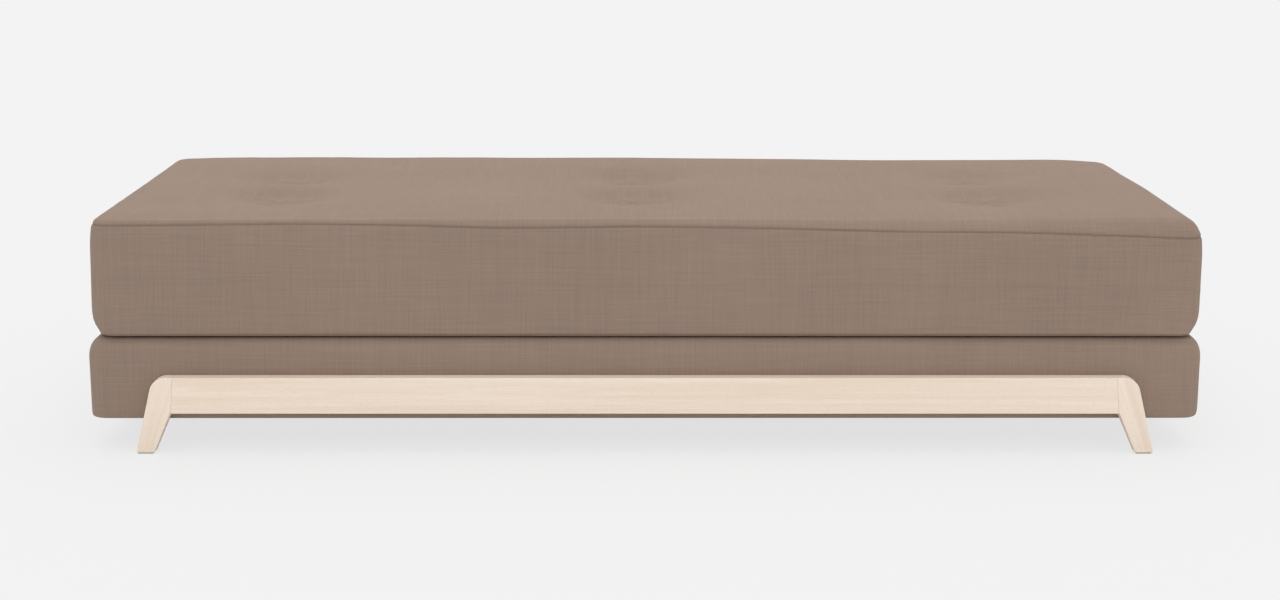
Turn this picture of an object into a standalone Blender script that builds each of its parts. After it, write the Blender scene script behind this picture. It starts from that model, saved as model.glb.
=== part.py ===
"""A sofa bed in two upholstered layers: a slatted base on two timber leg frames, and a tufted
mattress that folds forward off it, on a fabric flap, to lie on the floor beside it.

Metres, +Z up, +X along the length, -Y to the front. The origin is on the floor, under the middle.
"""

import math

import bmesh
import bpy
from mathutils import Matrix, Vector

# Driving dimensions
DEPTH = 0.800  # front face to back face, the same on both layers
BASE_LENGTH = 2.009
MATTRESS_LENGTH = 1.996
BASE_BOTTOM = 0.0595
FOLD_HEIGHT = 0.2095  # middle of the gap between the layers
LAYER_GAP = 0.003  # room for the flap between the layers
MATTRESS_EDGE = 0.4195  # height of the mattress's top panel at its edges
CROWN = 0.0040  # rise of the top panel from its edges to its middle
FIT = 0.0003  # gap between pieces that touch

# Rounded edges of the layers: how far in they come, and over what height
MATTRESS_LOW_EDGE = (0.016, 0.040)
MATTRESS_HIGH_EDGE = (0.018, 0.045)
BASE_LOW_EDGE = (0.003, 0.005)
BASE_HIGH_EDGE = (0.018, 0.036)
MATTRESS_CORNER = 0.035  # plan radius of the upright corners
BASE_CORNER = 0.026
DRAW_IN = 0.003  # how far the mattress's sides pull in between its corners
EDGE_ANGLES = (0, 30, 60, 90)  # where a rounded edge is sampled
ARC_STEPS = 4  # flats in a quarter turn

# Tufts: blind stitches that pull the top panel down
TUFT_SPACING = 0.670
TUFT_MIDDLE = -0.022  # the rows sit a little to the left of the middle
TUFT_ROWS = {"front": -0.12, "back": 0.12}
TUFT_RADIUS = 0.090
TUFT_DEPTH = 0.012
TIE_RADIUS = 0.002
TIE_DISC_RADIUS = 0.012
TIE_DISC = 0.002
TIE_ROOM = 0.0004

# Covers and fillings
MATTRESS_WALL = 0.0045
BASE_WALL = 0.0035
FOAM_GAP = 0.0025
FOAM_EASE = 0.006  # how much further a foam block's edge is rounded off than its cover
CEILING = 0.4035  # inside of the quilted top panel
UNDERSIDE = 0.003
LOWER_FOAM = 0.025
UPPER_FOAM = 0.030
DUST_CLOTH = 0.0012

# Base frame inside the cover
FRAME_GAP = 0.0005  # between the cover and the boards that it is stretched over
FRAME_LOW = 0.0655
FRAME_HIGH = 0.1350
BOARD = 0.022
LEDGER = 0.020
LEDGER_TOP = 0.118
LEDGER_HALF_LENGTH = 0.928
BEARER_X = 0.34
CORNER_BLOCK = 0.045
SLATS = 12
SLAT_PITCH = 0.155
SLAT_WIDTH = 0.085
SLAT_THICKNESS = 0.009
SLAT_RISE = 0.006  # camber of a slat
SLAT_SECTIONS = 8

# Leg frames: heights, and half-widths measured from the middle of the sofa
RAIL_THICKNESS = 0.024
RAIL_BOTTOM = 0.0750
RAIL_TOP = 0.1415
LEG_OUTSIDE_FLOOR = 0.9176
LEG_OUTSIDE_TOP = 0.8822
LEG_INSIDE_FLOOR = 0.8855
LEG_INSIDE_RAIL = 0.8516
JOINT_TOP = 0.8460  # where the line between rail and leg meets the rail's top
SHOULDER_RADIUS = 0.030
SHOULDER_STEPS = 6
EASED_EDGE = 0.0018
TENON = (0.044, 0.008, 0.040)  # length, thickness, height
TENON_ROOM = 0.0004
GLIDE_THICKNESS = 0.003
GLIDE_MARGIN = 0.0025
GLIDE_EDGE = 0.0006

# Bolts that hold the rails to the base frame
BOLT_X = {"left": -0.60, "middle": 0.0, "right": 0.60}
BOLT_RADIUS = 0.004
BOLT_HEAD_RADIUS = 0.009
BOLT_HEAD = 0.005
BOLT_IN_RAIL = 0.016
BOLT_ROOM = 0.0006
TURNED_SIDES = 14

# Fold: the flap is sewn to the mattress along the fold line and slides out as the mattress turns
FOLD_INSET = 0.010  # fold line behind the front faces
AXIS_RISE = 0.0029  # fold line above the middle of the gap, so that the open mattress clears the floor
OPEN_CLEARANCE = 0.005  # between the opened mattress and the front rail
FLAP_WIDTH = 0.070
FLAP_SETBACK = 0.008  # between the fold line and the flap's edge
FLAP_THICKNESS = 0.0015
FLAP_HALF_LENGTH = 0.962

# Worked out from the above
FACE = DEPTH / 2
MATTRESS_LOW = FOLD_HEIGHT + LAYER_GAP / 2
BASE_HIGH = FOLD_HEIGHT - LAYER_GAP / 2
BASE_CEILING = BASE_HIGH - BASE_WALL
BEAM_OUTSIDE = FACE - BASE_WALL - FRAME_GAP
BEAM_INSIDE = BEAM_OUTSIDE - BOARD
END_OUTSIDE = BASE_LENGTH / 2 - BASE_WALL - FRAME_GAP
END_INSIDE = END_OUTSIDE - BOARD
LEDGER_INSIDE = BEAM_INSIDE - FIT - LEDGER
RAIL_INSIDE = FACE + FIT
RAIL_OUTSIDE = RAIL_INSIDE + RAIL_THICKNESS
FOLD_Y = -FACE + FOLD_INSET
FOLD_Z = FOLD_HEIGHT + AXIS_RISE
FLAP_TRAVEL = RAIL_OUTSIDE - FACE + OPEN_CLEARANCE + 2 * FOLD_INSET
TUFT_COLUMNS = {
    name: TUFT_MIDDLE + k * TUFT_SPACING for k, name in ((-1, "left"), (0, "middle"), (1, "right"))
}
TUFTS = {
    f"{row}_{column}": (x, y)
    for row, y in TUFT_ROWS.items()
    for column, x in TUFT_COLUMNS.items()
}
SIDES = {"front": -1, "back": 1}
ENDS = {"left": -1, "right": 1}


def clear_scene():
    for obj in list(bpy.data.objects):
        bpy.data.objects.remove(obj, do_unlink=True)


def linear(hex_colour):
    """An sRGB hex colour as linear RGBA."""
    channels = [int(hex_colour[i : i + 2], 16) / 255 for i in (0, 2, 4)]
    return [c / 12.92 if c <= 0.04045 else ((c + 0.055) / 1.055) ** 2.4 for c in channels] + [1.0]


def finish(name, hex_colour, roughness, metallic=0.0):
    material = bpy.data.materials.new(name)
    material.use_nodes = True
    shader = material.node_tree.nodes["Principled BSDF"]
    shader.inputs["Base Color"].default_value = linear(hex_colour)
    shader.inputs["Roughness"].default_value = roughness
    shader.inputs["Metallic"].default_value = metallic
    return material


def add_object(name, bm, material=None, smooth_angle=None, parent=None):
    """Turn a bmesh, in world coordinates, into an object under its joint's empty."""
    bmesh.ops.recalc_face_normals(bm, faces=bm.faces)
    mesh = bpy.data.meshes.new(name)
    bm.to_mesh(mesh)
    bm.free()
    if smooth_angle:
        mesh.shade_smooth()
        mesh.set_sharp_from_angle(angle=math.radians(smooth_angle))
    obj = bpy.data.objects.new(name, mesh)
    bpy.context.scene.collection.objects.link(obj)
    if material:
        mesh.materials.append(material)
    if parent:
        obj.parent = parent
        obj.matrix_parent_inverse = Matrix.Translation(-Vector((0, FOLD_Y, FOLD_Z)))
    return obj


def add_cutter(name, bm):
    cutter = add_object(name, bm)
    cutter.hide_render = True
    cutter.display_type = "WIRE"
    return cutter


def cut(obj, cutter):
    modifier = obj.modifiers.new(cutter.name, "BOOLEAN")
    modifier.operation = "DIFFERENCE"
    modifier.solver = "EXACT"
    modifier.object = cutter


def box_mesh(low, high, bm=None):
    bm = bm or bmesh.new()
    low, high = Vector(low), Vector(high)
    size = Matrix.Diagonal((*(high - low), 1))
    bmesh.ops.create_cube(bm, size=1, matrix=Matrix.Translation((low + high) / 2) @ size)
    return bm


def extruded(outline, start, end, upright=False):
    """An outline in X and Z drawn out along Y, or, if upright, one in X and Y drawn up along Z."""

    def place(point, level):
        u, v = point
        return (u, v, level) if upright else (u, level, v)

    bm = bmesh.new()
    first, second = ([bm.verts.new(place(p, level)) for p in outline] for level in (start, end))
    bm.faces.new(first)
    bm.faces.new(reversed(second))
    for k in range(len(outline)):
        n = (k + 1) % len(outline)
        bm.faces.new((first[k], first[n], second[n], second[k]))
    return bm


def fillet(before, corner, after, radius, steps):
    """Points of the arc that rounds a corner between two straight edges."""
    before, corner, after = Vector(before), Vector(corner), Vector(after)
    towards = (before - corner).normalized()
    away = (after - corner).normalized()
    half = towards.angle(away) / 2
    start = corner + towards * radius / math.tan(half)
    end = corner + away * radius / math.tan(half)
    centre = corner + (towards + away).normalized() * radius / math.sin(half)
    turn = (start - centre).angle(end - centre)
    points = []
    for k in range(steps + 1):
        from_start = math.sin(turn * (1 - k / steps)) / math.sin(turn)
        from_end = math.sin(turn * k / steps) / math.sin(turn)
        points.append(tuple(centre + (start - centre) * from_start + (end - centre) * from_end))
    return points


def turned(profile, place, bm=None):
    """A solid of revolution: profile holds (radius, height) points, and place puts it in the world."""
    bm = bm or bmesh.new()
    rings = []
    for radius, height in profile:
        ring = []
        for k in range(TURNED_SIDES):
            angle = 2 * math.pi * k / TURNED_SIDES
            point = Vector((radius * math.cos(angle), radius * math.sin(angle), height))
            ring.append(bm.verts.new(place @ point))
        rings.append(ring)
    for lower, upper in zip(rings, rings[1:]):
        for k in range(TURNED_SIDES):
            n = (k + 1) % TURNED_SIDES
            bm.faces.new((lower[k], lower[n], upper[n], upper[k]))
    bm.faces.new(reversed(rings[0]))
    bm.faces.new(rings[-1])
    return bm


class Layer:
    """The outside of one upholstered layer. Its cover and its fillings are worked out from this."""

    def __init__(self, length, low, high, low_edge, high_edge, corner, draw_in):
        self.half_x = length / 2
        self.half_y = DEPTH / 2
        self.low, self.high = low, high
        self.low_edge, self.high_edge = low_edge, high_edge
        self.corner = corner
        self.draw_in = draw_in
        # Corners of the rectangle inside the corner arcs
        self.flat_x = self.half_x - corner
        self.flat_y = self.half_y - corner

    def inset(self, z):
        """How far in from the faces the rounded edges have come at this height."""
        depth, rise = self.low_edge
        past = (self.low + rise - z) / rise
        if past <= 0:
            depth, rise = self.high_edge
            past = (z - self.high + rise) / rise
        past = min(max(past, 0.0), 1.0)
        return depth * (1 - math.sqrt(1 - past**2))

    def levels(self, low, high, extra=0.0):
        """(height, inset) of the loops between two heights, closer together where an edge turns."""
        turns = [1 - math.cos(math.radians(angle)) for angle in EDGE_ANGLES]
        heights = [self.low + self.low_edge[1] * turn for turn in turns]
        heights += [self.high - self.high_edge[1] * turn for turn in turns]
        between = sorted(z for z in heights if low < z < high)
        return [(z, self.inset(z) + extra) for z in (low, *between, high)]

    def plain_lines(self):
        """X and Y of the grid lines on a piece with no tufts."""
        along = [self.flat_x * k / 2 for k in (-2, -1, 0, 1, 2)]
        return along, [-self.flat_y, 0.0, self.flat_y]

    def loop(self, lines, inset):
        """(x, y, grid index) of the points round the layer, anticlockwise from the front left."""
        along, across = lines
        last_i, last_j = len(along) - 1, len(across) - 1
        radius = self.corner - inset
        reach_x, reach_y = self.flat_x + radius, self.flat_y + radius

        def arc(turn, side_x, side_y, index):
            for k in range(1, ARC_STEPS):
                angle = math.pi / 2 * (turn + k / ARC_STEPS)
                x = side_x * self.flat_x + radius * math.cos(angle)
                y = side_y * self.flat_y + radius * math.sin(angle)
                yield x, y, index

        points = [(x, -reach_y, (i, 0)) for i, x in enumerate(along)]
        points += arc(-1, 1, -1, (last_i, 0))
        points += [(reach_x, y, (last_i, j)) for j, y in enumerate(across)]
        points += arc(0, 1, 1, (last_i, last_j))
        points += [(along[i], reach_y, (i, last_j)) for i in range(last_i, -1, -1)]
        points += arc(1, -1, 1, (0, last_j))
        points += [(-reach_x, across[j], (0, j)) for j in range(last_j, -1, -1)]
        points += arc(2, -1, -1, (0, 0))
        return points

    def drawn_in(self, x, y):
        """A plan point after the sides have pulled in between the corners."""
        pull_x = self.draw_in * (1 - (y / self.half_y) ** 2) / self.half_x
        pull_y = self.draw_in * (1 - (x / self.half_x) ** 2) / self.half_y
        return x * (1 - pull_x), y * (1 - pull_y)

    def solid(self, lines, levels, top=None):
        """A closed mesh through loops at the given levels, flat on top or following top(x, y)."""
        bm = bmesh.new()
        loops = []
        for z, inset in levels:
            outline = self.loop(lines, inset)
            loops.append([bm.verts.new((*self.drawn_in(x, y), z)) for x, y, _ in outline])
        count = len(outline)
        for lower, upper in zip(loops, loops[1:]):
            for k in range(count):
                n = (k + 1) % count
                bm.faces.new((lower[k], lower[n], upper[n], upper[k]))
        bm.faces.new(reversed(loops[0]))
        rim = loops[-1]
        if top is None:
            bm.faces.new(rim)
            return bm
        along, across = lines
        grid = {}
        for i, x in enumerate(along):
            for j, y in enumerate(across):
                grid[i, j] = bm.verts.new((*self.drawn_in(x, y), top(x, y)))
        for i in range(len(along) - 1):
            for j in range(len(across) - 1):
                corners = (grid[i, j], grid[i + 1, j], grid[i + 1, j + 1], grid[i, j + 1])
                bm.faces.new(corners)
        inner = [grid[index] for _, _, index in outline]
        for k in range(count):
            n = (k + 1) % count
            # A corner's fan meets one inner point, so the repeat is dropped
            bm.faces.new(list(dict.fromkeys((rim[k], rim[n], inner[n], inner[k]))))
        return bm


MATTRESS = Layer(
    MATTRESS_LENGTH,
    MATTRESS_LOW,
    MATTRESS_EDGE,
    MATTRESS_LOW_EDGE,
    MATTRESS_HIGH_EDGE,
    MATTRESS_CORNER,
    DRAW_IN,
)
BASE = Layer(
    BASE_LENGTH, BASE_BOTTOM, BASE_HIGH, BASE_LOW_EDGE, BASE_HIGH_EDGE, BASE_CORNER, draw_in=0.0
)


def leg_lines():
    """Outer and inner edge of the right leg as functions from height to X."""

    def outside(z):
        return LEG_OUTSIDE_FLOOR + (LEG_OUTSIDE_TOP - LEG_OUTSIDE_FLOOR) * z / RAIL_TOP

    def inside(z):
        return LEG_INSIDE_FLOOR + (LEG_INSIDE_RAIL - LEG_INSIDE_FLOOR) * z / RAIL_BOTTOM

    return outside, inside


def eased_board(outline, joint_edges, side):
    """A rail or leg cut from board. Its edges are eased, but not where it joins its neighbour."""
    bm = extruded(outline, side * RAIL_INSIDE, side * RAIL_OUTSIDE)
    bm.verts.index_update()
    count = len(outline)
    joints = {frozenset((k, (k + 1) % count)) for k in joint_edges}
    eased = []
    for edge in bm.edges:
        ends = [v.index for v in edge.verts]
        on_a_face = ends[0] // count == ends[1] // count
        if on_a_face and frozenset(k % count for k in ends) not in joints:
            eased.append(edge)
    bmesh.ops.bevel(bm, geom=eased, offset=EASED_EDGE, segments=2, profile=0.5, affect="EDGES")
    return bm


def make_leg_frames(wood, tenon_wood, felt, tenon_space, bolt_space):
    outside, inside = leg_lines()
    foot_in = (inside(GLIDE_THICKNESS), GLIDE_THICKNESS)
    foot_out = (outside(GLIDE_THICKNESS), GLIDE_THICKNESS)
    joint_low = (LEG_INSIDE_RAIL + FIT / 2, RAIL_BOTTOM)
    joint_high = (JOINT_TOP + FIT / 2, RAIL_TOP)
    shoulder = (LEG_OUTSIDE_TOP, RAIL_TOP)
    arc = fillet(foot_out, shoulder, joint_high, SHOULDER_RADIUS, SHOULDER_STEPS)
    leg = [foot_in, foot_out, *arc, joint_high, joint_low]
    joint = len(leg) - 2
    rail_ends = [(LEG_INSIDE_RAIL - FIT / 2, RAIL_BOTTOM), (JOINT_TOP - FIT / 2, RAIL_TOP)]
    rail = rail_ends + [(-x, z) for x, z in reversed(rail_ends)]
    for side_name, side in SIDES.items():
        bm = eased_board(rail, (0, 2), side)
        rail_object = add_object(f"{side_name}_rail", bm, wood, 30)
        cut(rail_object, tenon_space)
        cut(rail_object, bolt_space)
        for end_name, end in ENDS.items():
            name = f"{side_name}_{end_name}"
            bm = eased_board([(end * x, z) for x, z in leg], (joint,), side)
            leg_object = add_object(f"{name}_leg", bm, wood, 30)
            cut(leg_object, tenon_space)
            add_object(f"{name}_tenon", tenon_mesh(side, end, 0.0), tenon_wood)
            low = (end * (foot_in[0] + GLIDE_MARGIN), side * (RAIL_INSIDE + GLIDE_MARGIN), 0.0)
            high = (
                end * (foot_out[0] - GLIDE_MARGIN),
                side * (RAIL_OUTSIDE - GLIDE_MARGIN),
                GLIDE_THICKNESS - FIT,
            )
            corners = [sorted(pair) for pair in zip(low, high)]
            bm = box_mesh(*zip(*corners))
            bmesh.ops.bevel(bm, geom=bm.edges, offset=GLIDE_EDGE, segments=1, affect="EDGES")
            add_object(f"{name}_glide", bm, felt)


def tenon_mesh(side, end, room, bm=None):
    """A loose tenon across the joint between a rail and a leg, grown by room on every side."""
    length, thickness, height = TENON
    centre = Vector((
        end * (LEG_INSIDE_RAIL + JOINT_TOP) / 2,
        side * (RAIL_INSIDE + RAIL_OUTSIDE) / 2,
        (RAIL_BOTTOM + RAIL_TOP) / 2,
    ))
    reach = Vector((length, thickness, height)) / 2 + Vector((room, room, room))
    return box_mesh(centre - reach, centre + reach, bm)


def tenon_space_mesh():
    bm = bmesh.new()
    for side in SIDES.values():
        for end in ENDS.values():
            tenon_mesh(side, end, TENON_ROOM, bm)
    return bm


def bolt_place(x, side):
    """Puts a bolt's axis through a rail, from under its head, pointing out of the sofa."""
    head_seat = side * (LEDGER_INSIDE - FIT)
    centre = Vector((x, head_seat, LEDGER_TOP - LEDGER / 2))
    return Matrix.Translation(centre) @ Matrix.Rotation(-side * math.pi / 2, 4, "X")


def bolt_length():
    return RAIL_INSIDE + BOLT_IN_RAIL - LEDGER_INSIDE + FIT


def bolt_space_mesh():
    bm = bmesh.new()
    radius = BOLT_RADIUS + BOLT_ROOM
    profile = [(radius, -BOLT_HEAD), (radius, bolt_length() + BOLT_ROOM)]
    for side in SIDES.values():
        for x in BOLT_X.values():
            turned(profile, bolt_place(x, side), bm)
    return bm


def make_bolts(steel):
    chamfer = BOLT_RADIUS / 4
    profile = [
        (BOLT_HEAD_RADIUS - chamfer, -BOLT_HEAD),
        (BOLT_HEAD_RADIUS, -BOLT_HEAD + chamfer),
        (BOLT_HEAD_RADIUS, 0.0),
        (BOLT_RADIUS, 0.0),
        (BOLT_RADIUS, bolt_length() - chamfer),
        (BOLT_RADIUS - chamfer, bolt_length()),
    ]
    for side_name, side in SIDES.items():
        for place_name, x in BOLT_X.items():
            bm = turned(profile, bolt_place(x, side))
            add_object(f"{side_name}_bolt_{place_name}", bm, steel, 30)


def make_base_frame(pine, bolt_space):
    corner = BASE_CORNER - BASE_WALL - FRAME_GAP
    ends = []
    for end in (-1, 1):
        points = fillet(
            (0, -BEAM_OUTSIDE),
            (end * END_OUTSIDE, -BEAM_OUTSIDE),
            (end * END_OUTSIDE, 0),
            corner,
            ARC_STEPS,
        )
        points.append((end * END_OUTSIDE, -BEAM_INSIDE))
        ends.append(points)
    beam = list(dict.fromkeys(ends[1] + ends[0][::-1]))
    for side_name, side in SIDES.items():
        bm = extruded([(x, -side * y) for x, y in beam], FRAME_LOW, FRAME_HIGH, upright=True)
        bmesh.ops.remove_doubles(bm, verts=bm.verts, dist=FIT / 10)
        cut(add_object(f"{side_name}_beam", bm, pine, 30), bolt_space)
        low = (-LEDGER_HALF_LENGTH, side * LEDGER_INSIDE, LEDGER_TOP - LEDGER)
        high = (LEDGER_HALF_LENGTH, side * (BEAM_INSIDE - FIT), LEDGER_TOP)
        cut(add_object(f"{side_name}_slat_ledger", box_mesh(low, high), pine), bolt_space)
    across = BEAM_INSIDE - FIT
    for end_name, end in ENDS.items():
        low = (end * END_INSIDE, -across, FRAME_LOW)
        high = (end * END_OUTSIDE, across, FRAME_HIGH)
        add_object(f"{end_name}_end_board", box_mesh(low, high), pine)
        low = (end * BEARER_X - BOARD / 2, -across, FRAME_LOW)
        high = (end * BEARER_X + BOARD / 2, across, LEDGER_TOP - LEDGER - FRAME_GAP)
        add_object(f"{end_name}_cross_bearer", box_mesh(low, high), pine)
        for side_name, side in SIDES.items():
            x, y = end * (END_INSIDE - FIT), side * across
            block = [(x, y), (x - end * CORNER_BLOCK, y), (x, y - side * CORNER_BLOCK)]
            bm = extruded(block, FRAME_LOW + FIT, LEDGER_TOP, upright=True)
            add_object(f"{side_name}_{end_name}_corner_block", bm, pine)


def make_slats(beech):
    """Bent slats, lying on the ledgers and arching up in the middle."""
    half_y = BEAM_INSIDE - FRAME_GAP - FIT
    for number in range(SLATS):
        middle = (number - (SLATS - 1) / 2) * SLAT_PITCH
        left, right = middle - SLAT_WIDTH / 2, middle + SLAT_WIDTH / 2
        bm = bmesh.new()
        sections = []
        for k in range(SLAT_SECTIONS + 1):
            y = half_y * (2 * k / SLAT_SECTIONS - 1)
            low = LEDGER_TOP + FIT + SLAT_RISE * (1 - (y / half_y) ** 2)
            high = low + SLAT_THICKNESS
            corners = ((left, low), (right, low), (right, high), (left, high))
            sections.append([bm.verts.new((x, y, z)) for x, z in corners])
        for near, far in zip(sections, sections[1:]):
            for k in range(4):
                n = (k + 1) % 4
                bm.faces.new((near[k], near[n], far[n], far[k]))
        bm.faces.new(reversed(sections[0]))
        bm.faces.new(sections[-1])
        add_object(f"slat_{number + 1:02d}", bm, beech, 30)


def eased_levels(levels, edge, reach):
    """Levels of a foam block whose edge at one height is rounded off further than its cover."""
    shares = [max(0.0, 1 - abs(z - edge) / reach) ** 2 for z, _ in levels]
    return [(z, inset + FOAM_EASE * share) for (z, inset), share in zip(levels, shares)]


def make_base_upholstery(fabric, foam, cloth, bolt_space):
    lines = BASE.plain_lines()
    outside = BASE.solid(lines, BASE.levels(BASE_BOTTOM, BASE_HIGH))
    cover = add_object("base_cover", outside, fabric, 40)
    below = BASE_BOTTOM - FOAM_GAP
    hollow = BASE.solid(lines, BASE.levels(below, BASE_CEILING, BASE_WALL))
    cut(cover, add_cutter("base_hollow", hollow))
    cut(cover, bolt_space)
    inside = BASE_WALL + FOAM_GAP
    top = BASE_CEILING - FIT
    filling = eased_levels(BASE.levels(FRAME_HIGH + FRAME_GAP, top, inside), top, UPPER_FOAM)
    add_object("base_foam", BASE.solid(lines, filling), foam, 40)
    inset = BASE.inset(BASE_BOTTOM) + BASE_WALL + FRAME_GAP
    start = BASE_BOTTOM + FRAME_GAP
    sheet = [(start, inset), (start + DUST_CLOTH, inset)]
    add_object("base_dust_cloth", BASE.solid(lines, sheet), cloth)


def tuft_sink(distance):
    """How far a tuft pulls the panel down, this far from its middle."""
    if distance >= TUFT_RADIUS:
        return 0.0
    return TUFT_DEPTH * (0.5 + 0.5 * math.cos(math.pi * distance / TUFT_RADIUS))


def mattress_top(x, y):
    along, across = x / MATTRESS.half_x, y / MATTRESS.half_y
    crown = CROWN * (1 - along**4) * (1 - across**2)
    sink = sum(tuft_sink(math.hypot(x - tx, y - ty)) for tx, ty in TUFTS.values())
    return MATTRESS_EDGE + crown - sink


def tufted_lines():
    """Grid lines close together across each tuft, so that its hollow is round."""
    steps = [TUFT_RADIUS * k / 2 for k in (-2, -1, 0, 1, 2)]
    columns = sorted(TUFT_COLUMNS.values())
    rows = sorted(TUFT_ROWS.values())
    along = {x + step for x in columns for step in steps}
    along |= {(a + b) / 2 for a, b in zip(columns, columns[1:])}
    across = {y + step for y in rows for step in steps} | {sum(rows) / 2}
    return (
        sorted(along | {-MATTRESS.flat_x, MATTRESS.flat_x}),
        sorted(across | {-MATTRESS.flat_y, MATTRESS.flat_y}),
    )


def tie_profile(low, high, room):
    """A stitch of twine between two felt discs, grown by room on every side."""
    disc, twine = TIE_DISC_RADIUS + room, TIE_RADIUS + room
    return [
        (disc, low - room),
        (disc, low + TIE_DISC + room),
        (twine, low + TIE_DISC + room),
        (twine, high - TIE_DISC - room),
        (disc, high - TIE_DISC - room),
        (disc, high + room),
    ]


def make_mattress(fabric, foam, soft_foam, twine, fold_axis):
    plain = MATTRESS.plain_lines()
    outside = MATTRESS.levels(MATTRESS_LOW, MATTRESS_EDGE)
    bm = MATTRESS.solid(tufted_lines(), outside, mattress_top)
    cover = add_object("mattress_cover", bm, fabric, 40, fold_axis)
    below = MATTRESS_LOW - FOAM_GAP
    hollow = MATTRESS.solid(plain, MATTRESS.levels(below, CEILING, MATTRESS_WALL))
    cut(cover, add_cutter("mattress_hollow", hollow))

    inset = MATTRESS.inset(MATTRESS_LOW) + MATTRESS_WALL + FRAME_GAP
    panel = [(MATTRESS_LOW, inset), (MATTRESS_LOW + UNDERSIDE, inset)]
    add_object("mattress_underside", MATTRESS.solid(plain, panel), fabric, 40, fold_axis)

    inside = MATTRESS_WALL + FOAM_GAP
    lower_start = MATTRESS_LOW + UNDERSIDE + FIT
    core_start = lower_start + LOWER_FOAM
    upper_end = CEILING - FIT
    upper_start = upper_end - UPPER_FOAM
    fillings = {
        "mattress_lower_foam": (lower_start, core_start - FIT, soft_foam),
        "mattress_core": (core_start, upper_start - FIT, foam),
        "mattress_upper_foam": (upper_start, upper_end, soft_foam),
    }
    pieces = {}
    edges = {"mattress_lower_foam": lower_start, "mattress_upper_foam": upper_end}
    for name, (low, high, material) in fillings.items():
        levels = MATTRESS.levels(low, high, inside)
        if name in edges:
            levels = eased_levels(levels, edges[name], high - low)
        pieces[name] = add_object(name, MATTRESS.solid(plain, levels), material, 40, fold_axis)

    low = core_start + TIE_ROOM
    high = upper_end - TIE_ROOM
    spaces = bmesh.new()
    for name, (x, y) in TUFTS.items():
        place = Matrix.Translation((x, y, 0))
        bm = turned(tie_profile(low, high, 0.0), place)
        add_object(f"tuft_tie_{name}", bm, twine, 30, fold_axis)
        turned(tie_profile(low, high, 2 * TIE_ROOM), place, spaces)
    tie_space = add_cutter("tie_space", spaces)
    cut(pieces["mattress_core"], tie_space)
    cut(pieces["mattress_upper_foam"], tie_space)


def make_flap(fabric, slide):
    start = FOLD_Y + FLAP_SETBACK
    low = (-FLAP_HALF_LENGTH, start, FOLD_HEIGHT - FLAP_THICKNESS / 2)
    high = (FLAP_HALF_LENGTH, start + FLAP_WIDTH, FOLD_HEIGHT + FLAP_THICKNESS / 2)
    add_object("hinge_flap", box_mesh(low, high), fabric, parent=slide)


def make_joint_axes():
    """Empties on the joints: the flap slides forward, and the mattress turns about its edge."""
    slide = bpy.data.objects.new("flap_slide", None)
    slide.location = (0, FOLD_Y, FOLD_Z)
    fold = bpy.data.objects.new("mattress_fold", None)
    fold.parent = slide
    for empty in (slide, fold):
        bpy.context.scene.collection.objects.link(empty)
    return slide, fold


def main():
    clear_scene()
    fabric = finish("taupe_weave", "8D7A6C", 0.95)
    pale_wood = finish("whitewashed_beech", "E6D5C6", 0.55)
    tenon_wood = finish("beech", "D9B98C", 0.60)
    pine = finish("pine", "D8BE94", 0.70)
    slat_wood = finish("bent_beech", "E0C9A0", 0.55)
    steel = finish("zinc_plated_steel", "B9BBBD", 0.35, metallic=1.0)
    felt = finish("felt", "C9BDAF", 0.95)
    foam = finish("firm_foam", "E9DDBE", 0.95)
    soft_foam = finish("soft_foam", "F2EBDC", 0.95)
    twine = finish("twine", "E5DCC8", 0.90)
    cloth = finish("dust_cloth", "2E2D2C", 0.95)

    bolt_space = add_cutter("bolt_space", bolt_space_mesh())
    tenon_space = add_cutter("tenon_space", tenon_space_mesh())
    slide, fold = make_joint_axes()

    make_leg_frames(pale_wood, tenon_wood, felt, tenon_space, bolt_space)
    make_bolts(steel)
    make_base_frame(pine, bolt_space)
    make_slats(slat_wood)
    make_base_upholstery(fabric, foam, cloth, bolt_space)
    make_mattress(fabric, foam, soft_foam, twine, fold)
    make_flap(fabric, slide)
    print(f"flap travel {FLAP_TRAVEL:.4f} m, fold axis at y {FOLD_Y:.4f}, z {FOLD_Z:.4f}")


main()
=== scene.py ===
# %% [markdown]
# # A sofa bed in two upholstered layers
# The object is a low sofa bed: a tufted mattress lies on an upholstered base, and the base stands
# on two pale timber leg frames. To make the bed, the mattress folds forward to the floor.
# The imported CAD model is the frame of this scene. Hard pieces whose shape is right stay, and get a
# finish. Everything soft is made again here, in the place that the CAD gives it.

# %% Load the frame
import math

import bmesh
import bpy
import numpy as np
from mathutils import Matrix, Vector, noise


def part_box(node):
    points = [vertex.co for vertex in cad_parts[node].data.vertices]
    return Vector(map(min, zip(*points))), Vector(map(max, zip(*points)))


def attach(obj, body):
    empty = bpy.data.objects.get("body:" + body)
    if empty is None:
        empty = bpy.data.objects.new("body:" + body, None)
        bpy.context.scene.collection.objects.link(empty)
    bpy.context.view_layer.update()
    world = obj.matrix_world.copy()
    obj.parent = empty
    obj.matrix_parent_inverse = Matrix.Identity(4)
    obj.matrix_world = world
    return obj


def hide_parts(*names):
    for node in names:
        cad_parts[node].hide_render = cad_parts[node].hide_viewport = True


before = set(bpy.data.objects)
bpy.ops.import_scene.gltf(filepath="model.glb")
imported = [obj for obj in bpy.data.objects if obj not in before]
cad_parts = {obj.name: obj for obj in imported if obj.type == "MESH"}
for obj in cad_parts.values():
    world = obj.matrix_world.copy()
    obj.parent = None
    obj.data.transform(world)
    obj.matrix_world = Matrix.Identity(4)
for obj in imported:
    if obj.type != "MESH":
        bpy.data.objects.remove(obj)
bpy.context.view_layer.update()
scene = bpy.context.scene

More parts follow.
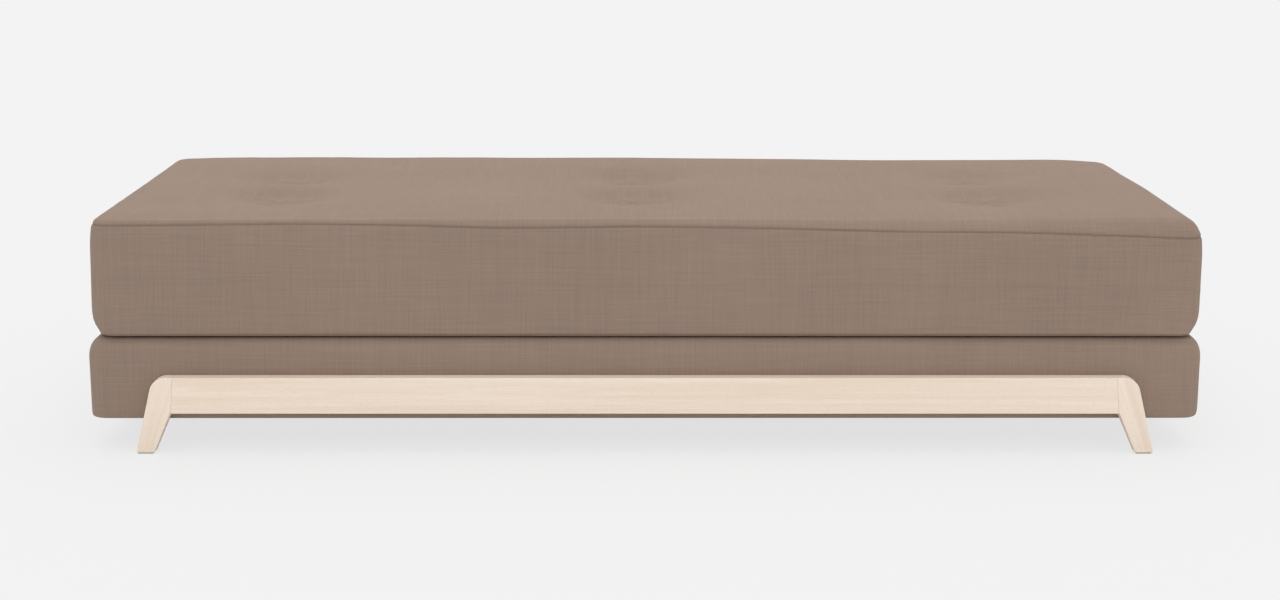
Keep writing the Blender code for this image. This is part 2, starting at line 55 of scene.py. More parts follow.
# %% [markdown]
# ## Camera
# The photograph looks at the front from slightly above. A camera has three things to settle: where
# it stands, where it points and how wide it sees. These come from the photo: the two layers' known
# equal lengths give the distance, and the slope of the top's short sides gives the height.

# %% Camera
CAMERA_PLACE = (-0.0085, -4.045, 1.066)
LOOKING_DOWN = 12.18  # degrees
FOCAL_LENGTH, SENSOR_WIDTH = 58.70, 36  # mm

lens = bpy.data.cameras.new("studio_camera")
lens.sensor_fit = "HORIZONTAL"
lens.sensor_width = SENSOR_WIDTH
lens.lens = FOCAL_LENGTH
camera = bpy.data.objects.new("studio_camera", lens)
camera.location = CAMERA_PLACE
camera.rotation_euler = (math.radians(90 - LOOKING_DOWN), 0, 0)
scene.collection.objects.link(camera)
scene.camera = camera
print("camera", round(Vector(CAMERA_PLACE).length, 2), "m from the origin")

# %% [markdown]
# ## Helpers for materials
# Colours are written as sRGB hex values, as a paint program shows them, but Blender calculates with
# linear light, so one function converts them. Another adds a node, sets its properties and fills its
# inputs: a plain value is set on the socket, and another node or its output is linked to it.

# %% Helpers for materials
# Blender's names of the nodes that are used most
MATH, MIX, SPREAD = "ShaderNodeMath", "ShaderNodeMix", "ShaderNodeMapRange"
NOISE, CELLS, WAVE = "ShaderNodeTexNoise", "ShaderNodeTexVoronoi", "ShaderNodeTexWave"
MAPPING, PLACE, BUMP = "ShaderNodeMapping", "ShaderNodeTexCoord", "ShaderNodeBump"
JOIN, SCALE = "ShaderNodeCombineXYZ", "ShaderNodeVectorMath"


def srgb(hex_colour):
    """An sRGB hex colour as linear RGBA."""
    channels = [int(hex_colour[k : k + 2], 16) / 255 for k in (0, 2, 4)]
    return [c / 12.92 if c <= 0.04045 else ((c + 0.055) / 1.055) ** 2.4 for c in channels] + [1.0]


def fill_inputs(tree, node, inputs):
    """Fill a node's inputs. Each is a value, an output, or a node that gives its first output."""
    for key, value in inputs.items():
        if isinstance(value, bpy.types.Node):
            value = value.outputs[0]
        if isinstance(value, bpy.types.NodeSocket):
            tree.links.new(value, node.inputs[key])
        else:
            node.inputs[key].default_value = value


def add_node(tree, kind, inputs=(), **settings):
    """Add a node with its settings and inputs."""
    node = tree.nodes.new(kind)
    for name, value in settings.items():
        setattr(node, name, value)
    fill_inputs(tree, node, dict(inputs))
    return node


def new_material(name):
    material = bpy.data.materials.new(name)
    material.use_nodes = True
    return material, material.node_tree, material.node_tree.nodes["Principled BSDF"]


print("taupe in linear light:", [round(c, 3) for c in srgb("8D7A6C")[:3]])

# %% [markdown]
# ## Light
# The photo is a product shot: soft light from everywhere, a little more from above, so the top is
# about a third brighter than the front. An even world gives the soft part. Wide suns give the
# direction, and because a sun has no distance the floor stays one even tone. To the camera, and in
# anything glossy, the world is the photo's pale backdrop instead.

# %% Light
BACKDROP = "F3F3F3"
AMBIENT = 0.66
SUNS = {
    # name: strength, degrees above the floor, degrees round from the front to the right, width
    "high_soft_light": (1.17, 80, 180, 70),
    "back_fill": (0.30, 35, 160, 90),
    "front_fill": (0.66, 35, 0, 60),
}


def seen_rays(tree):
    """1 for what the camera sees, directly or in something glossy or clear, and 0 for other light."""
    path = add_node(tree, "ShaderNodeLightPath").outputs
    seen = path["Is Camera Ray"]
    for ray in ("Is Glossy Ray", "Is Transmission Ray"):
        seen = add_node(tree, MATH, {0: seen, 1: path[ray]}, operation="MAXIMUM")
    return seen


world = bpy.data.worlds.new("studio")
world.use_nodes = True
scene.world = world
tree = world.node_tree
tree.nodes.clear()
soft = add_node(tree, "ShaderNodeBackground", {"Color": srgb("FFFFFF"), "Strength": AMBIENT})
pale = add_node(tree, "ShaderNodeBackground", {"Color": srgb(BACKDROP), "Strength": 1.0})
mixed = add_node(tree, "ShaderNodeMixShader", {0: seen_rays(tree), 1: soft, 2: pale})
add_node(tree, "ShaderNodeOutputWorld", {"Surface": mixed})

for name, (strength, height, round_from_front, width) in SUNS.items():
    sun = bpy.data.lights.new(name, "SUN")
    sun.energy = strength
    sun.angle = math.radians(width)
    lamp = bpy.data.objects.new(name, sun)
    lamp.rotation_euler = (math.radians(90 - height), 0, math.radians(round_from_front))
    scene.collection.objects.link(lamp)
print("an even world and", len(SUNS), "suns")

# %% [markdown]
# ## Floor
# The white floor throws light up at the front, as a studio floor does. The photo has hardly any
# shadow, so to the camera the floor is mostly an even glow, chosen so that glow and lit floor
# together give the photo's pale grey. The rest of it still takes the object's shadow.

# %% Floor
FLOOR_WHITE, FLOOR_GLOW = "F3F3F3", "EFEFEF"
GLOW_SHARE = 0.85  # share of the floor's tone that shadows leave alone, as in the photo
FLOOR_SIZE = 60.0
FLOOR_HEIGHT = -0.0005  # just under the feet

floor_paint, tree, shader = new_material("pale_studio_floor")
matt = {"Base Color": srgb(FLOOR_WHITE), "Roughness": 1.0, "Specular IOR Level": 0.0}
fill_inputs(tree, shader, matt)
share = add_node(tree, MATH, {0: seen_rays(tree), 1: GLOW_SHARE}, operation="MULTIPLY")
glow = add_node(tree, "ShaderNodeEmission", {"Color": srgb(FLOOR_GLOW), "Strength": 1.0})
mixed = add_node(tree, "ShaderNodeMixShader", {0: share, 1: shader, 2: glow})
fill_inputs(tree, tree.nodes["Material Output"], {"Surface": mixed})

reach = FLOOR_SIZE / 2
corners = [(x * reach, y * reach, FLOOR_HEIGHT) for x, y in ((-1, -1), (1, -1), (1, 1), (-1, 1))]
floor_mesh = bpy.data.meshes.new("studio_floor")
floor_mesh.from_pydata(corners, [], [(0, 1, 2, 3)])
floor_mesh.materials.append(floor_paint)
floor = bpy.data.objects.new("studio_floor", floor_mesh)
scene.collection.objects.link(floor)
print("floor", FLOOR_SIZE, "m wide")

# %% [markdown]
# ## Taupe linen weave
# Both layers are covered in one upholstery cloth: a plain weave of matt, slightly uneven yarn in a
# warm grey-brown. Warp and weft cross over and under each other in turn. Each thread has its own
# tone, and thickens and thins along its length, which gives the faint streaks both ways in the photo.
# An image texture could show this, but a weave is a rule, so nodes can draw it at any distance.
# The pattern follows the cloth's own UV map, which is in metres and turns with each sewn panel.
# First comes one set of threads: each is round across its width, and goes over and under along it.

# %% The threads of one direction
CLOTH_MAP = "cloth"
THREAD = 0.0022  # real threads are about 1 mm apart: drawn coarser, so that they show
SLUB = 0.110  # length over which a thread changes tone
LIFT = 0.5  # how far a thread goes over and under, against its own roundness
NEXT_THREAD, NEXT_SET = 7.31, 3.7  # steps in the noise that make each thread and each set differ


def thread_set(tree, across, along, sign):
    """Height and tone of the threads of one direction, from the two cloth coordinates in threads."""
    number = add_node(tree, MATH, {0: across}, operation="FLOOR")
    turn = add_node(tree, MATH, {0: across, 1: math.pi}, operation="MULTIPLY")
    wave = add_node(tree, MATH, {0: turn}, operation="SINE")
    crown = add_node(tree, MATH, {0: wave}, operation="ABSOLUTE")
    step = add_node(tree, MATH, {0: along, 1: number}, operation="ADD")
    phase = {0: step, 1: math.pi, 2: -math.pi / 2}
    phase = add_node(tree, MATH, phase, operation="MULTIPLY_ADD")
    over = add_node(tree, MATH, {0: phase}, operation="COSINE")
    height = {0: over, 1: sign * LIFT, 2: crown}
    height = add_node(tree, MATH, height, operation="MULTIPLY_ADD")
    row = add_node(tree, MATH, {0: number, 1: NEXT_THREAD}, operation="MULTIPLY")
    run = add_node(tree, MATH, {0: along, 1: THREAD / SLUB}, operation="MULTIPLY")
    spot = add_node(tree, JOIN, {0: row, 1: run, 2: sign * NEXT_SET})
    tone = add_node(tree, NOISE, {"Vector": spot, "Scale": 1.0, "Detail": 1.0})
    return height, tone


print("threads", 1000 * THREAD, "mm apart, slubs", 1000 * SLUB, "mm long")

# %% [markdown]
# Two such sets, the second turned by a quarter, make the weave: whichever thread is higher shows.
# The same height gives the relief, as a bump: real geometry for every thread would be far too much.

# %% The woven cloth
TAUPE_DARK, TAUPE_LIGHT, FUZZ = "88756A", "958273", "CBB9A8"
SEAM_SHADE = "seam_shade"  # attribute of painted shade, that darkens the cloth at seams and in the tufts' hollows
BROAD_SCALE = 3.0  # slow changes of tone, about three to a metre


def make_weave():
    """Matt woven linen: hardly any gloss, and a soft bright fuzz where it is seen at a slant."""
    material, tree, shader = new_material("taupe_linen_weave")
    metres = add_node(tree, "ShaderNodeUVMap", uv_map=CLOTH_MAP)
    threads = add_node(tree, SCALE, {0: metres, "Scale": 1 / THREAD}, operation="SCALE")
    u, v, _ = add_node(tree, "ShaderNodeSeparateXYZ", {0: threads}).outputs
    warp, warp_tone = thread_set(tree, u, v, 1)
    weft, weft_tone = thread_set(tree, v, u, -1)
    top = add_node(tree, MATH, {0: warp, 1: weft}, operation="MAXIMUM")
    over = add_node(tree, MATH, {0: warp, 1: weft}, operation="GREATER_THAN")
    tone = add_node(tree, MIX, {"Factor": over, "A": weft_tone, "B": warp_tone})
    tone = add_node(tree, SPREAD, {0: tone, 1: 0.25, 2: 0.75, 3: 0.0, 4: 1.0})
    yarn = {"Factor": tone, 6: srgb(TAUPE_DARK), 7: srgb(TAUPE_LIGHT)}
    yarn = add_node(tree, MIX, yarn, data_type="RGBA").outputs[2]
    # Painted shade darkens the gaps between threads and a little painted light lifts their crowns, the
    # cloth varies a little over its width, and the painted shade of seams and hollows is added
    shade = add_node(tree, SPREAD, {0: top, 1: 0.4, 2: 1.3, 3: 0.84, 4: 1.06})
    place = add_node(tree, PLACE).outputs["Object"]
    broad = add_node(tree, NOISE, {"Vector": place, "Scale": BROAD_SCALE, "Detail": 2.0})
    broad = add_node(tree, SPREAD, {0: broad, 1: 0.3, 2: 0.7, 3: 0.97, 4: 1.03})
    painted_shade = add_node(tree, "ShaderNodeAttribute", attribute_name=SEAM_SHADE).outputs["Fac"]
    painted_shade = add_node(tree, SPREAD, {0: painted_shade, 1: 0.0, 2: 1.0, 3: 1.0, 4: 0.85})
    for other in (broad, painted_shade):
        shade = add_node(tree, MATH, {0: shade, 1: other}, operation="MULTIPLY")
    colour = add_node(tree, SCALE, {0: yarn, "Scale": shade}, operation="SCALE")
    bump = add_node(tree, BUMP, {"Strength": 0.35, "Distance": 0.0005, "Height": top})
    fill_inputs(tree, shader, {
        "Base Color": colour,
        "Normal": bump,
        "Roughness": 0.92,
        "Specular IOR Level": 0.15,
        "Sheen Weight": 0.12,
        "Sheen Roughness": 0.6,
        "Sheen Tint": srgb(FUZZ),
    })
    return material


taupe_weave = make_weave()
print(taupe_weave.name, "with", len(taupe_weave.node_tree.nodes), "nodes")

# %% [markdown]
# ## Timber
# Four woods are in the object: whitewashed beech on the legs and rails, plain beech in the tenons,
# pine in the hidden base frame and steamed beech in the bent slats. All four are fibres along the
# grain, slow bands of growth across it and short flecks, so one function draws them with different
# colours and sizes. The visible boards carry a UV map along their own grain, because the legs lean;
# the hidden ones lie along an axis, so a Mapping node turns the pattern for them.

# %% Timber
GRAIN_MAP = "grain"
EDGE_HIGHLIGHT, HIGHLIGHT_COLOUR = "painted_edge_highlight", "F2E6DA"  # painted highlight on the eased edges, where this attribute is 1
TURN_GRAIN = {"x": (0, 0, 0), "y": (0, 0, -math.pi / 2), "z": (0, math.pi / 2, 0)}
BAND_LENGTH = 0.6
# Length and thickness. Real fibres are a tenth of a millimetre thick: these are bundles of them,
# coarse enough to show.
FIBRE, FLECK = (0.09, 0.0016), (0.009, 0.0011)
BAND_SHARE = 0.6  # of the grain's tone; the fibres give the rest


def make_timber(name, light, dark, fleck, band, roughness, along="x", mapped=False):
    """Wood with bands this far apart, in metres, and its grain along an axis or its own UV map."""
    material, tree, shader = new_material(name)
    if mapped:
        place = add_node(tree, "ShaderNodeUVMap", uv_map=GRAIN_MAP)
    else:
        place = add_node(tree, PLACE).outputs["Object"]
        place = add_node(tree, MAPPING, {"Vector": place, "Rotation": TURN_GRAIN[along]})
    layers = []
    for (length, width), detail in (((BAND_LENGTH, band), 2.0), (FIBRE, 3.0), (FLECK, 0.0)):
        stretch = (1 / length, 1 / width, 1 / width)
        spot = add_node(tree, MAPPING, {"Vector": place, "Scale": stretch})
        layers.append(add_node(tree, NOISE, {"Vector": spot, "Scale": 1.0, "Detail": detail}))
    bands, fibres, flecks = layers
    grain = add_node(tree, MIX, {"Factor": BAND_SHARE, "A": fibres, "B": bands})
    grain = add_node(tree, SPREAD, {0: grain, 1: 0.36, 2: 0.64, 3: 0.0, 4: 1.0})
    marks = add_node(tree, SPREAD, {0: flecks, 1: 0.66, 2: 0.76, 3: 0.0, 4: 0.4})
    coats = [(grain, dark), (marks, fleck)]
    if mapped:
        # painted highlight on the eased edges, along the fibres
        lit_edges = add_node(tree, "ShaderNodeAttribute", attribute_name=EDGE_HIGHLIGHT).outputs["Fac"]
        lit_edges = add_node(tree, MATH, {0: lit_edges, 1: fibres}, operation="MULTIPLY")
        coats.append((lit_edges, HIGHLIGHT_COLOUR))
    wood = srgb(light)
    for share, colour in coats:
        coat = {"Factor": share, 6: wood, 7: srgb(colour)}
        wood = add_node(tree, MIX, coat, data_type="RGBA").outputs[2]
    sheen = {0: fibres, 1: 0.3, 2: 0.7, 3: roughness - 0.06, 4: roughness + 0.08}
    sheen = add_node(tree, SPREAD, sheen)
    bump = add_node(tree, BUMP, {"Strength": 0.3, "Distance": 0.0002, "Height": fibres})
    fill_inputs(tree, shader, {
        "Base Color": wood, "Roughness": sheen, "Normal": bump, "IOR": 1.5, "Specular IOR Level": 0.3
    })
    return material


washed = ("EEDFD0", "E5D2BF", "D6BDA5", 0.014, 0.52)
washed_beech = make_timber("whitewashed_beech", *washed, mapped=True)
tenon_beech = make_timber("plain_beech", "DDC097", "CDA877", "A97F50", 0.006, 0.60)
slat_beech = make_timber("steamed_beech", "E4CFA8", "D6BB8E", "B89264", 0.008, 0.50, "y")
pine = ("E0C89F", "CDAA74", "B98A4E", 0.012, 0.68)
pine_long, pine_cross, pine_upright = (
    make_timber("pine_" + way, *pine, axis)
    for way, axis in (("along", "x"), ("across", "y"), ("upright", "z"))
)
print("six timbers, the first is", washed_beech.name)

# %% [markdown]
# ## Small finishes
# Inside the covers and under the feet are foam, felt, twine, zinc-plated steel and the black
# non-woven cloth that closes the base from below. Each has one pattern that the eye knows it by:
# foam its open cells, felt and non-woven cloth their tangled fibres, twine its twist, and plated
# steel a faint crystal mottle. One function takes the pattern's texture, its size and two colours.

# %% Small finishes
def make_mottled(name, kind, size, dark, light, roughness, relief, metallic=0.0, **settings):
    """A finish whose colour and relief both come from one texture, size metres across."""
    material, tree, shader = new_material(name)
    place = add_node(tree, PLACE).outputs["Object"]
    place = add_node(tree, MAPPING, {"Vector": place, "Scale": [1 / size] * 3})
    pattern = add_node(tree, kind, {"Vector": place, "Scale": 1.0}, **settings)
    tone = add_node(tree, SPREAD, {0: pattern, 1: 0.2, 2: 0.8, 3: 0.0, 4: 1.0})
    colour = {"Factor": tone, 6: srgb(dark), 7: srgb(light)}
    colour = add_node(tree, MIX, colour, data_type="RGBA").outputs[2]
    bump = add_node(tree, BUMP, {"Strength": 0.5, "Distance": relief, "Height": pattern})
    fill_inputs(tree, shader, {
        "Base Color": colour, "Normal": bump, "Roughness": roughness, "Metallic": metallic
    })
    return material


# Polyurethane foam, sawn: open cells 1.5 or 1.2 mm across, no gloss
firm_foam = make_mottled("firm_foam", CELLS, 0.0015, "D9CBA6", "EFE5CA", 0.95, 0.0004)
soft_foam = make_mottled("soft_foam", CELLS, 0.0012, "E4DAC6", "F6F0E4", 0.95, 0.0004)
# Wool felt, needled: short fibres lying every way, drawn 2 mm long
wool_felt = make_mottled("wool_felt", NOISE, 0.002, "BBAE9F", "D6CBBE", 0.97, 0.0003)
# Polypropylene non-woven, pressed: black, with a mottle of fibres 3 mm long
dust_cloth = make_mottled("black_nonwoven", NOISE, 0.003, "242322", "393736", 0.90, 0.0003)
# Waxed linen twine: two strands twisted, 3 mm to a turn
waxed_twine = make_mottled(
    "waxed_twine", WAVE, 0.003, "C9BD9F", "EBE3CF", 0.75, 0.0003, bands_direction="DIAGONAL"
)
# Zinc-plated steel, bright: a crystal mottle about 4 mm across
zinc_steel = make_mottled(
    "zinc_plated_steel", CELLS, 0.004, "A9ACB0", "C3C5C8", 0.36, 0.00002, metallic=1.0
)
# Polyester sewing thread in the cloth's own colour, a shade darker and a little glossy
sewing_thread = make_mottled("taupe_sewing_thread", NOISE, 0.0006, "74645A", "857468", 0.60, 0.0001)
print("small finishes:", firm_foam.name, wool_felt.name, dust_cloth.name, zinc_steel.name)

# %% [markdown]
# ## The outline of a layer
# Seen from above, both layers are rectangles with rounded corners. Every ring of points round a
# layer is this outline moved inwards, so it is worked out once, with the points closer together
# round the corners, where the cloth turns. It starts in the middle of the front left corner. A box
# with a bevel would be quicker to make, but its points could not follow the seams.

# %% The outline of a layer
CORNER_DENSITY, CORNER_REACH = 2.0, 0.06  # points are closer at a corner, fading over this distance
TUFT_DENSITY, TUFT_REACH = 2.0, 0.07  # the same abreast of the tufts, which need a finer mesh
FINE_STEPS = 4000  # in which that density is added up


def bell(distance, width):
    """1 at no distance, and smoothly less further away."""
    return np.exp(-((distance / width) ** 2))


def side_walk(reach, radius, count, tufts):
    """Distances of the points along one side, from the middle of one corner to the next."""
    total = radius * math.pi / 2 + 2 * (reach - radius)
    fine = np.linspace(0, total, FINE_STEPS)
    density = 1 + CORNER_DENSITY * (
        np.exp(-fine / CORNER_REACH) + np.exp(-(total - fine) / CORNER_REACH)
    )
    for place in tufts:
        density += TUFT_DENSITY * bell(fine - total / 2 - place, TUFT_REACH)
    share = np.cumsum(density)
    share = (share - share[0]) / (share[-1] - share[0])
    return np.interp(np.arange(count + 1) / count, share, fine), total


def outline(half, radius, counts, tuft_x=(), tuft_y=()):
    """Points and outward normals round a rounded rectangle, anticlockwise."""
    points, normals = [], []
    quarter = radius * math.pi / 4
    for sign, axis in ((1, 0), (1, 1), (-1, 0), (-1, 1)):
        tufts = [sign * place for place in (tuft_x, tuft_y)[axis]]
        walked, total = side_walk(half[axis], radius, counts[axis], tufts)
        walked = walked[:-1, None]
        straight = total - 2 * quarter
        turn = np.minimum(walked / radius - math.pi / 4, 0)
        turn = turn + np.maximum((walked - quarter - straight) / radius, 0)
        level = np.clip(walked - quarter, 0, straight) - straight / 2
        along = sign * np.eye(2)[axis]
        outward = np.array([along[1], -along[0]])
        centre = half[1 - axis] - radius
        points.append((level + radius * np.sin(turn)) * along
                      + (centre + radius * np.cos(turn)) * outward)
        normals.append(np.sin(turn) * along + np.cos(turn) * outward)
    return np.concatenate(points), np.concatenate(normals)


print("a unit square's outline starts at", outline((0.5, 0.5), 0.1, (20, 20))[0][0].round(4))

# %% [markdown]
# ## The side of a layer
# Rings of points climb the side, closer together at each seam. The side's profile may change round
# the layer, so each point of the outline has its own: a lower edge that curves in, a straight part
# and an upper edge. A ring stands at the same kind of place on every profile, so it follows a seam
# that wanders.

# %% The side of a layer
LOW_SEAM_RINGS = (-0.0025, 0.0, 0.0025, 0.006)  # metres from the seam, up the side
TOP_SEAM_RINGS = (-0.012, -0.006, *LOW_SEAM_RINGS)
BOXING_STEPS, ROLL_STEPS = 9, 3  # between the two seams, and from the top one to the panel's rim
ARC = np.radians(np.linspace(0, 90, 25))  # the turn of an edge


def between(first, second, share):
    """Depth and rise of an edge, a share of the way from one pair to another."""
    return [a + (b - a) * share for a, b in zip(first, second)]


def side_profile(low, high, low_edge, high_edge, rims):
    """Inset and height of points up the side, for each outline point: two arrays.

    An edge is its depth and its rise, and rims are the insets of the two panels.
    """
    count = len(high)
    insets = np.concatenate([
        np.full(count, rims[0])[:, None],
        np.outer(low_edge[0], 1 - np.cos(ARC[::-1])),
        np.outer(high_edge[0], 1 - np.cos(ARC)),
        np.full(count, rims[1])[:, None],
    ], axis=1)
    heights = np.concatenate([
        np.full((count, 1), low),
        low + np.outer(low_edge[1], 1 - np.sin(ARC[::-1])),
        (high - high_edge[1])[:, None] + np.outer(high_edge[1], np.sin(ARC)),
        high[:, None],
    ], axis=1)
    return insets, heights


def climb(insets, heights):
    """Distance up each profile to each of its points."""
    steps = np.hypot(np.diff(insets, axis=1), np.diff(heights, axis=1))
    return np.concatenate([np.zeros((len(insets), 1)), np.cumsum(steps, axis=1)], axis=1)


def evenly(first, last, steps):
    """Distances that part a way into equal steps, without its ends."""
    return [first + (last - first) * k / steps for k in range(1, steps)]


def ring_stops(low_seam, top_seam, whole):
    """Distances up the profile at which rings go: close at the seams, even between them."""
    stops = [np.zeros_like(whole)] + [low_seam + away for away in LOW_SEAM_RINGS]
    rings = [top_seam + away for away in TOP_SEAM_RINGS]
    stops += evenly(stops[-1], rings[0], BOXING_STEPS) + rings
    stops += evenly(stops[-1], whole, ROLL_STEPS) + [whole]
    return np.stack(stops, axis=1)


def side_rings(plan, normals, insets, heights, stops):
    """Points of every ring: each outline point's profile, read at that point's stops."""
    climbed = climb(insets, heights)
    rings = np.zeros((stops.shape[1], len(plan), 3))
    for k in range(len(plan)):
        inset = np.interp(stops[k], climbed[k], insets[k])
        rings[:, k, :2] = plan[k] - inset[:, None] * normals[k]
        rings[:, k, 2] = np.interp(stops[k], climbed[k], heights[k])
    return rings


print("rings at a top seam, in mm:", [round(1000 * away, 1) for away in TOP_SEAM_RINGS])

# %% [markdown]
# ## The panels of a layer
# A layer is sewn from a top panel, a boxing strip round the sides and a bottom panel. A grid fills
# each panel, and the grid's border is the side's first or last ring. The weave has to follow the
# cloth, so the UV map lays each part flat in metres: the part of the side above the top seam belongs
# to the top panel, the part below the low seam to the bottom one, and the rest is the boxing.

# %% The panels of a layer
UNDER_SHIFT, BOXING_SHIFT = 3.0, 6.0  # the bottom panel and the boxing lie this far up the map


def distances(line):
    """Distance along a line of points to each of them."""
    return np.concatenate([[0], np.cumsum(np.linalg.norm(np.diff(line, axis=0), axis=1))])


def panel_grid(rim, counts):
    """Fill a ring with a grid that follows its four sides."""
    nx, ny = counts
    ring = np.concatenate([rim, rim[:1]])
    front, right = ring[: nx + 1], ring[nx : nx + ny + 1]
    back, left = ring[nx + ny : 2 * nx + ny + 1][::-1], ring[2 * nx + ny :][::-1]
    u, v = distances((front + back) / 2), distances((left + right) / 2)
    u, v = (u / u[-1])[:, None, None], (v / v[-1])[None, :, None]
    across = (1 - v) * front[:, None] + v * back[:, None]
    along = (1 - u) * left[None] + u * right[None]
    corners = (1 - u) * ((1 - v) * front[0] + v * back[0]) + u * ((1 - v) * front[-1] + v * back[-1])
    return across + along - corners


def panel_numbers(counts, level, start):
    """Point numbers of a panel's grid: its border is a ring, and its inner points come after start."""
    nx, ny = counts
    numbers = np.zeros((nx + 1, ny + 1), int)
    numbers[1:-1, 1:-1] = start + np.arange((nx - 1) * (ny - 1)).reshape(nx - 1, ny - 1)
    border = [(i, 0) for i in range(nx)] + [(nx, j) for j in range(ny)]
    border += [(nx - i, ny) for i in range(nx)] + [(0, ny - j) for j in range(ny)]
    for k, place in enumerate(border):
        numbers[place] = level * len(border) + k
    return numbers


def rim_normals(ring):
    """Outward directions in plan at the points of a ring."""
    tangent = np.roll(ring[:, :2], -1, axis=0) - np.roll(ring[:, :2], 1, axis=0)
    normal = np.stack([tangent[:, 1], -tangent[:, 0]], axis=1)
    return normal / np.linalg.norm(normal, axis=1)[:, None]


def flat_sides(rings, stops):
    """The side's points on the flat cloth of the top panel, of the bottom panel and of the boxing."""
    levels, around = rings.shape[:2]
    wrap = np.arange(around + 1) % around
    climbed = stops.T[:, wrap, None]
    walked = np.broadcast_to(distances(rings[levels // 2][wrap]), climbed.shape[:2])
    top = rings[-1, wrap, :2] + rim_normals(rings[-1])[wrap] * (climbed[-1] - climbed)
    under = rings[0, wrap, :2] + rim_normals(rings[0])[wrap] * climbed + (0, UNDER_SHIFT)
    boxing = np.stack([walked, climbed[..., 0] + BOXING_SHIFT], axis=2)
    return top, under, boxing


print("the bottom panel lies", UNDER_SHIFT, "m and the boxing", BOXING_SHIFT, "m up the map")

# %% [markdown]
# ## Points in and out of a mesh
# Blender keeps the points of a mesh in its own lists. To move tens of thousands of them one by one
# would be slow in Python, so small helpers copy all values to an array, and back again.

# %% Points in and out of a mesh
def read_values(data, key, width=1):
    """Values of a mesh's points, one row for each."""
    flat = np.zeros(len(data) * width, np.float32)
    data.foreach_get(key, flat)
    return flat.reshape(-1, width).astype(float)


def read_points(mesh):
    return read_values(mesh.vertices, "co", 3)


def read_normals(mesh):
    return read_values(mesh.vertex_normals, "vector", 3)


def read_attribute(mesh, name):
    return read_values(mesh.attributes[name].data, "value")[:, 0]


def write_points(mesh, points):
    mesh.vertices.foreach_set("co", np.asarray(points, np.float32).ravel())
    mesh.update()


def write_attribute(mesh, name, values):
    stored = mesh.attributes.get(name) or mesh.attributes.new(name, "FLOAT", "POINT")
    stored.data.foreach_set("value", np.asarray(values, np.float32))


print("a node's points, for example:", read_points(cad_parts["front_rail"].data).shape)

# %% [markdown]
# ## A layer as a mesh
# Now rings and panels become one closed mesh. Each point also keeps its distance to the nearest
# seam, for the sewing that comes later.

# %% A layer as a mesh
SEAM_DISTANCE = "seam_distance"
NO_SEAM = 1.0  # distance that stands for none near


def layer_mesh(name, rings, stops, grids, counts, seams):
    """A closed mesh of rings and two panel grids. seams are the rings at the low and the top seam."""
    levels, around = rings.shape[:2]
    inner = [grid[1:-1, 1:-1].reshape(-1, 3) for grid in grids]
    verts = np.concatenate([rings.reshape(-1, 3), *inner])
    starts = (levels * around, levels * around + len(inner[0]))
    top, under, boxing = flat_sides(rings, stops)
    faces, places = [], []
    for level in range(levels - 1):
        part = top if level >= seams[1] else under if level < seams[0] else boxing
        for k in range(around):
            corners = ((level, k), (level, k + 1), (level + 1, k + 1), (level + 1, k))
            faces.append([m * around + i % around for m, i in corners])
            places += [part[corner] for corner in corners]
    for level, start, turn, shift in zip((0, levels - 1), starts, (-1, 1), (UNDER_SHIFT, 0.0)):
        numbers = panel_numbers(counts, level, start).tolist()
        for i, j in np.ndindex(*counts):
            corners = [numbers[i][j], numbers[i + 1][j], numbers[i + 1][j + 1], numbers[i][j + 1]]
            faces.append(corners[::turn])
            places += [verts[corner][:2] + (0, shift) for corner in corners[::turn]]
    mesh = bpy.data.meshes.new(name)
    mesh.from_pydata(verts.tolist(), [], faces)
    layer = mesh.uv_layers.new(name=CLOTH_MAP)
    layer.data.foreach_set("uv", np.asarray(places, np.float32).ravel())
    nearest = np.full((levels, around), NO_SEAM)
    for ring in seams:
        away = stops.T - stops.T[ring]
        nearest = np.where(np.abs(away) < np.abs(nearest), away, nearest)
    flat = np.full(len(verts) - nearest.size, NO_SEAM)
    write_attribute(mesh, SEAM_DISTANCE, np.concatenate([nearest.ravel(), flat]))
    return mesh


def add_piece(name, mesh, material):
    mesh.materials.clear()
    mesh.materials.append(material)
    obj = bpy.data.objects.new(name, mesh)
    scene.collection.objects.link(obj)
    return obj


print("seam distances are kept in the attribute", SEAM_DISTANCE)

# %% [markdown]
# ## Letting a cover swell
# A real cover is sewn a little small and the filling pushes it out, so it is round where it is free
# and held where it is sewn. Cloth simulation does just that: pressure from inside, no gravity, and
# soft pins where seams and tufts hold the cloth. A long flat panel would blow up like an air bed,
# so the distance that a point may move is capped smoothly, and the start shape is slightly small.

# %% Letting a cover swell
SWELL_FRAMES = 20
PRESSURE = 0.35


def keep_modified(obj, modifier):
    """Keep what a modifier makes as the object's own mesh."""
    shown = obj.evaluated_get(bpy.context.evaluated_depsgraph_get())
    mesh = bpy.data.meshes.new_from_object(shown)
    obj.modifiers.remove(modifier)
    old, obj.data = obj.data, mesh
    bpy.data.meshes.remove(old)


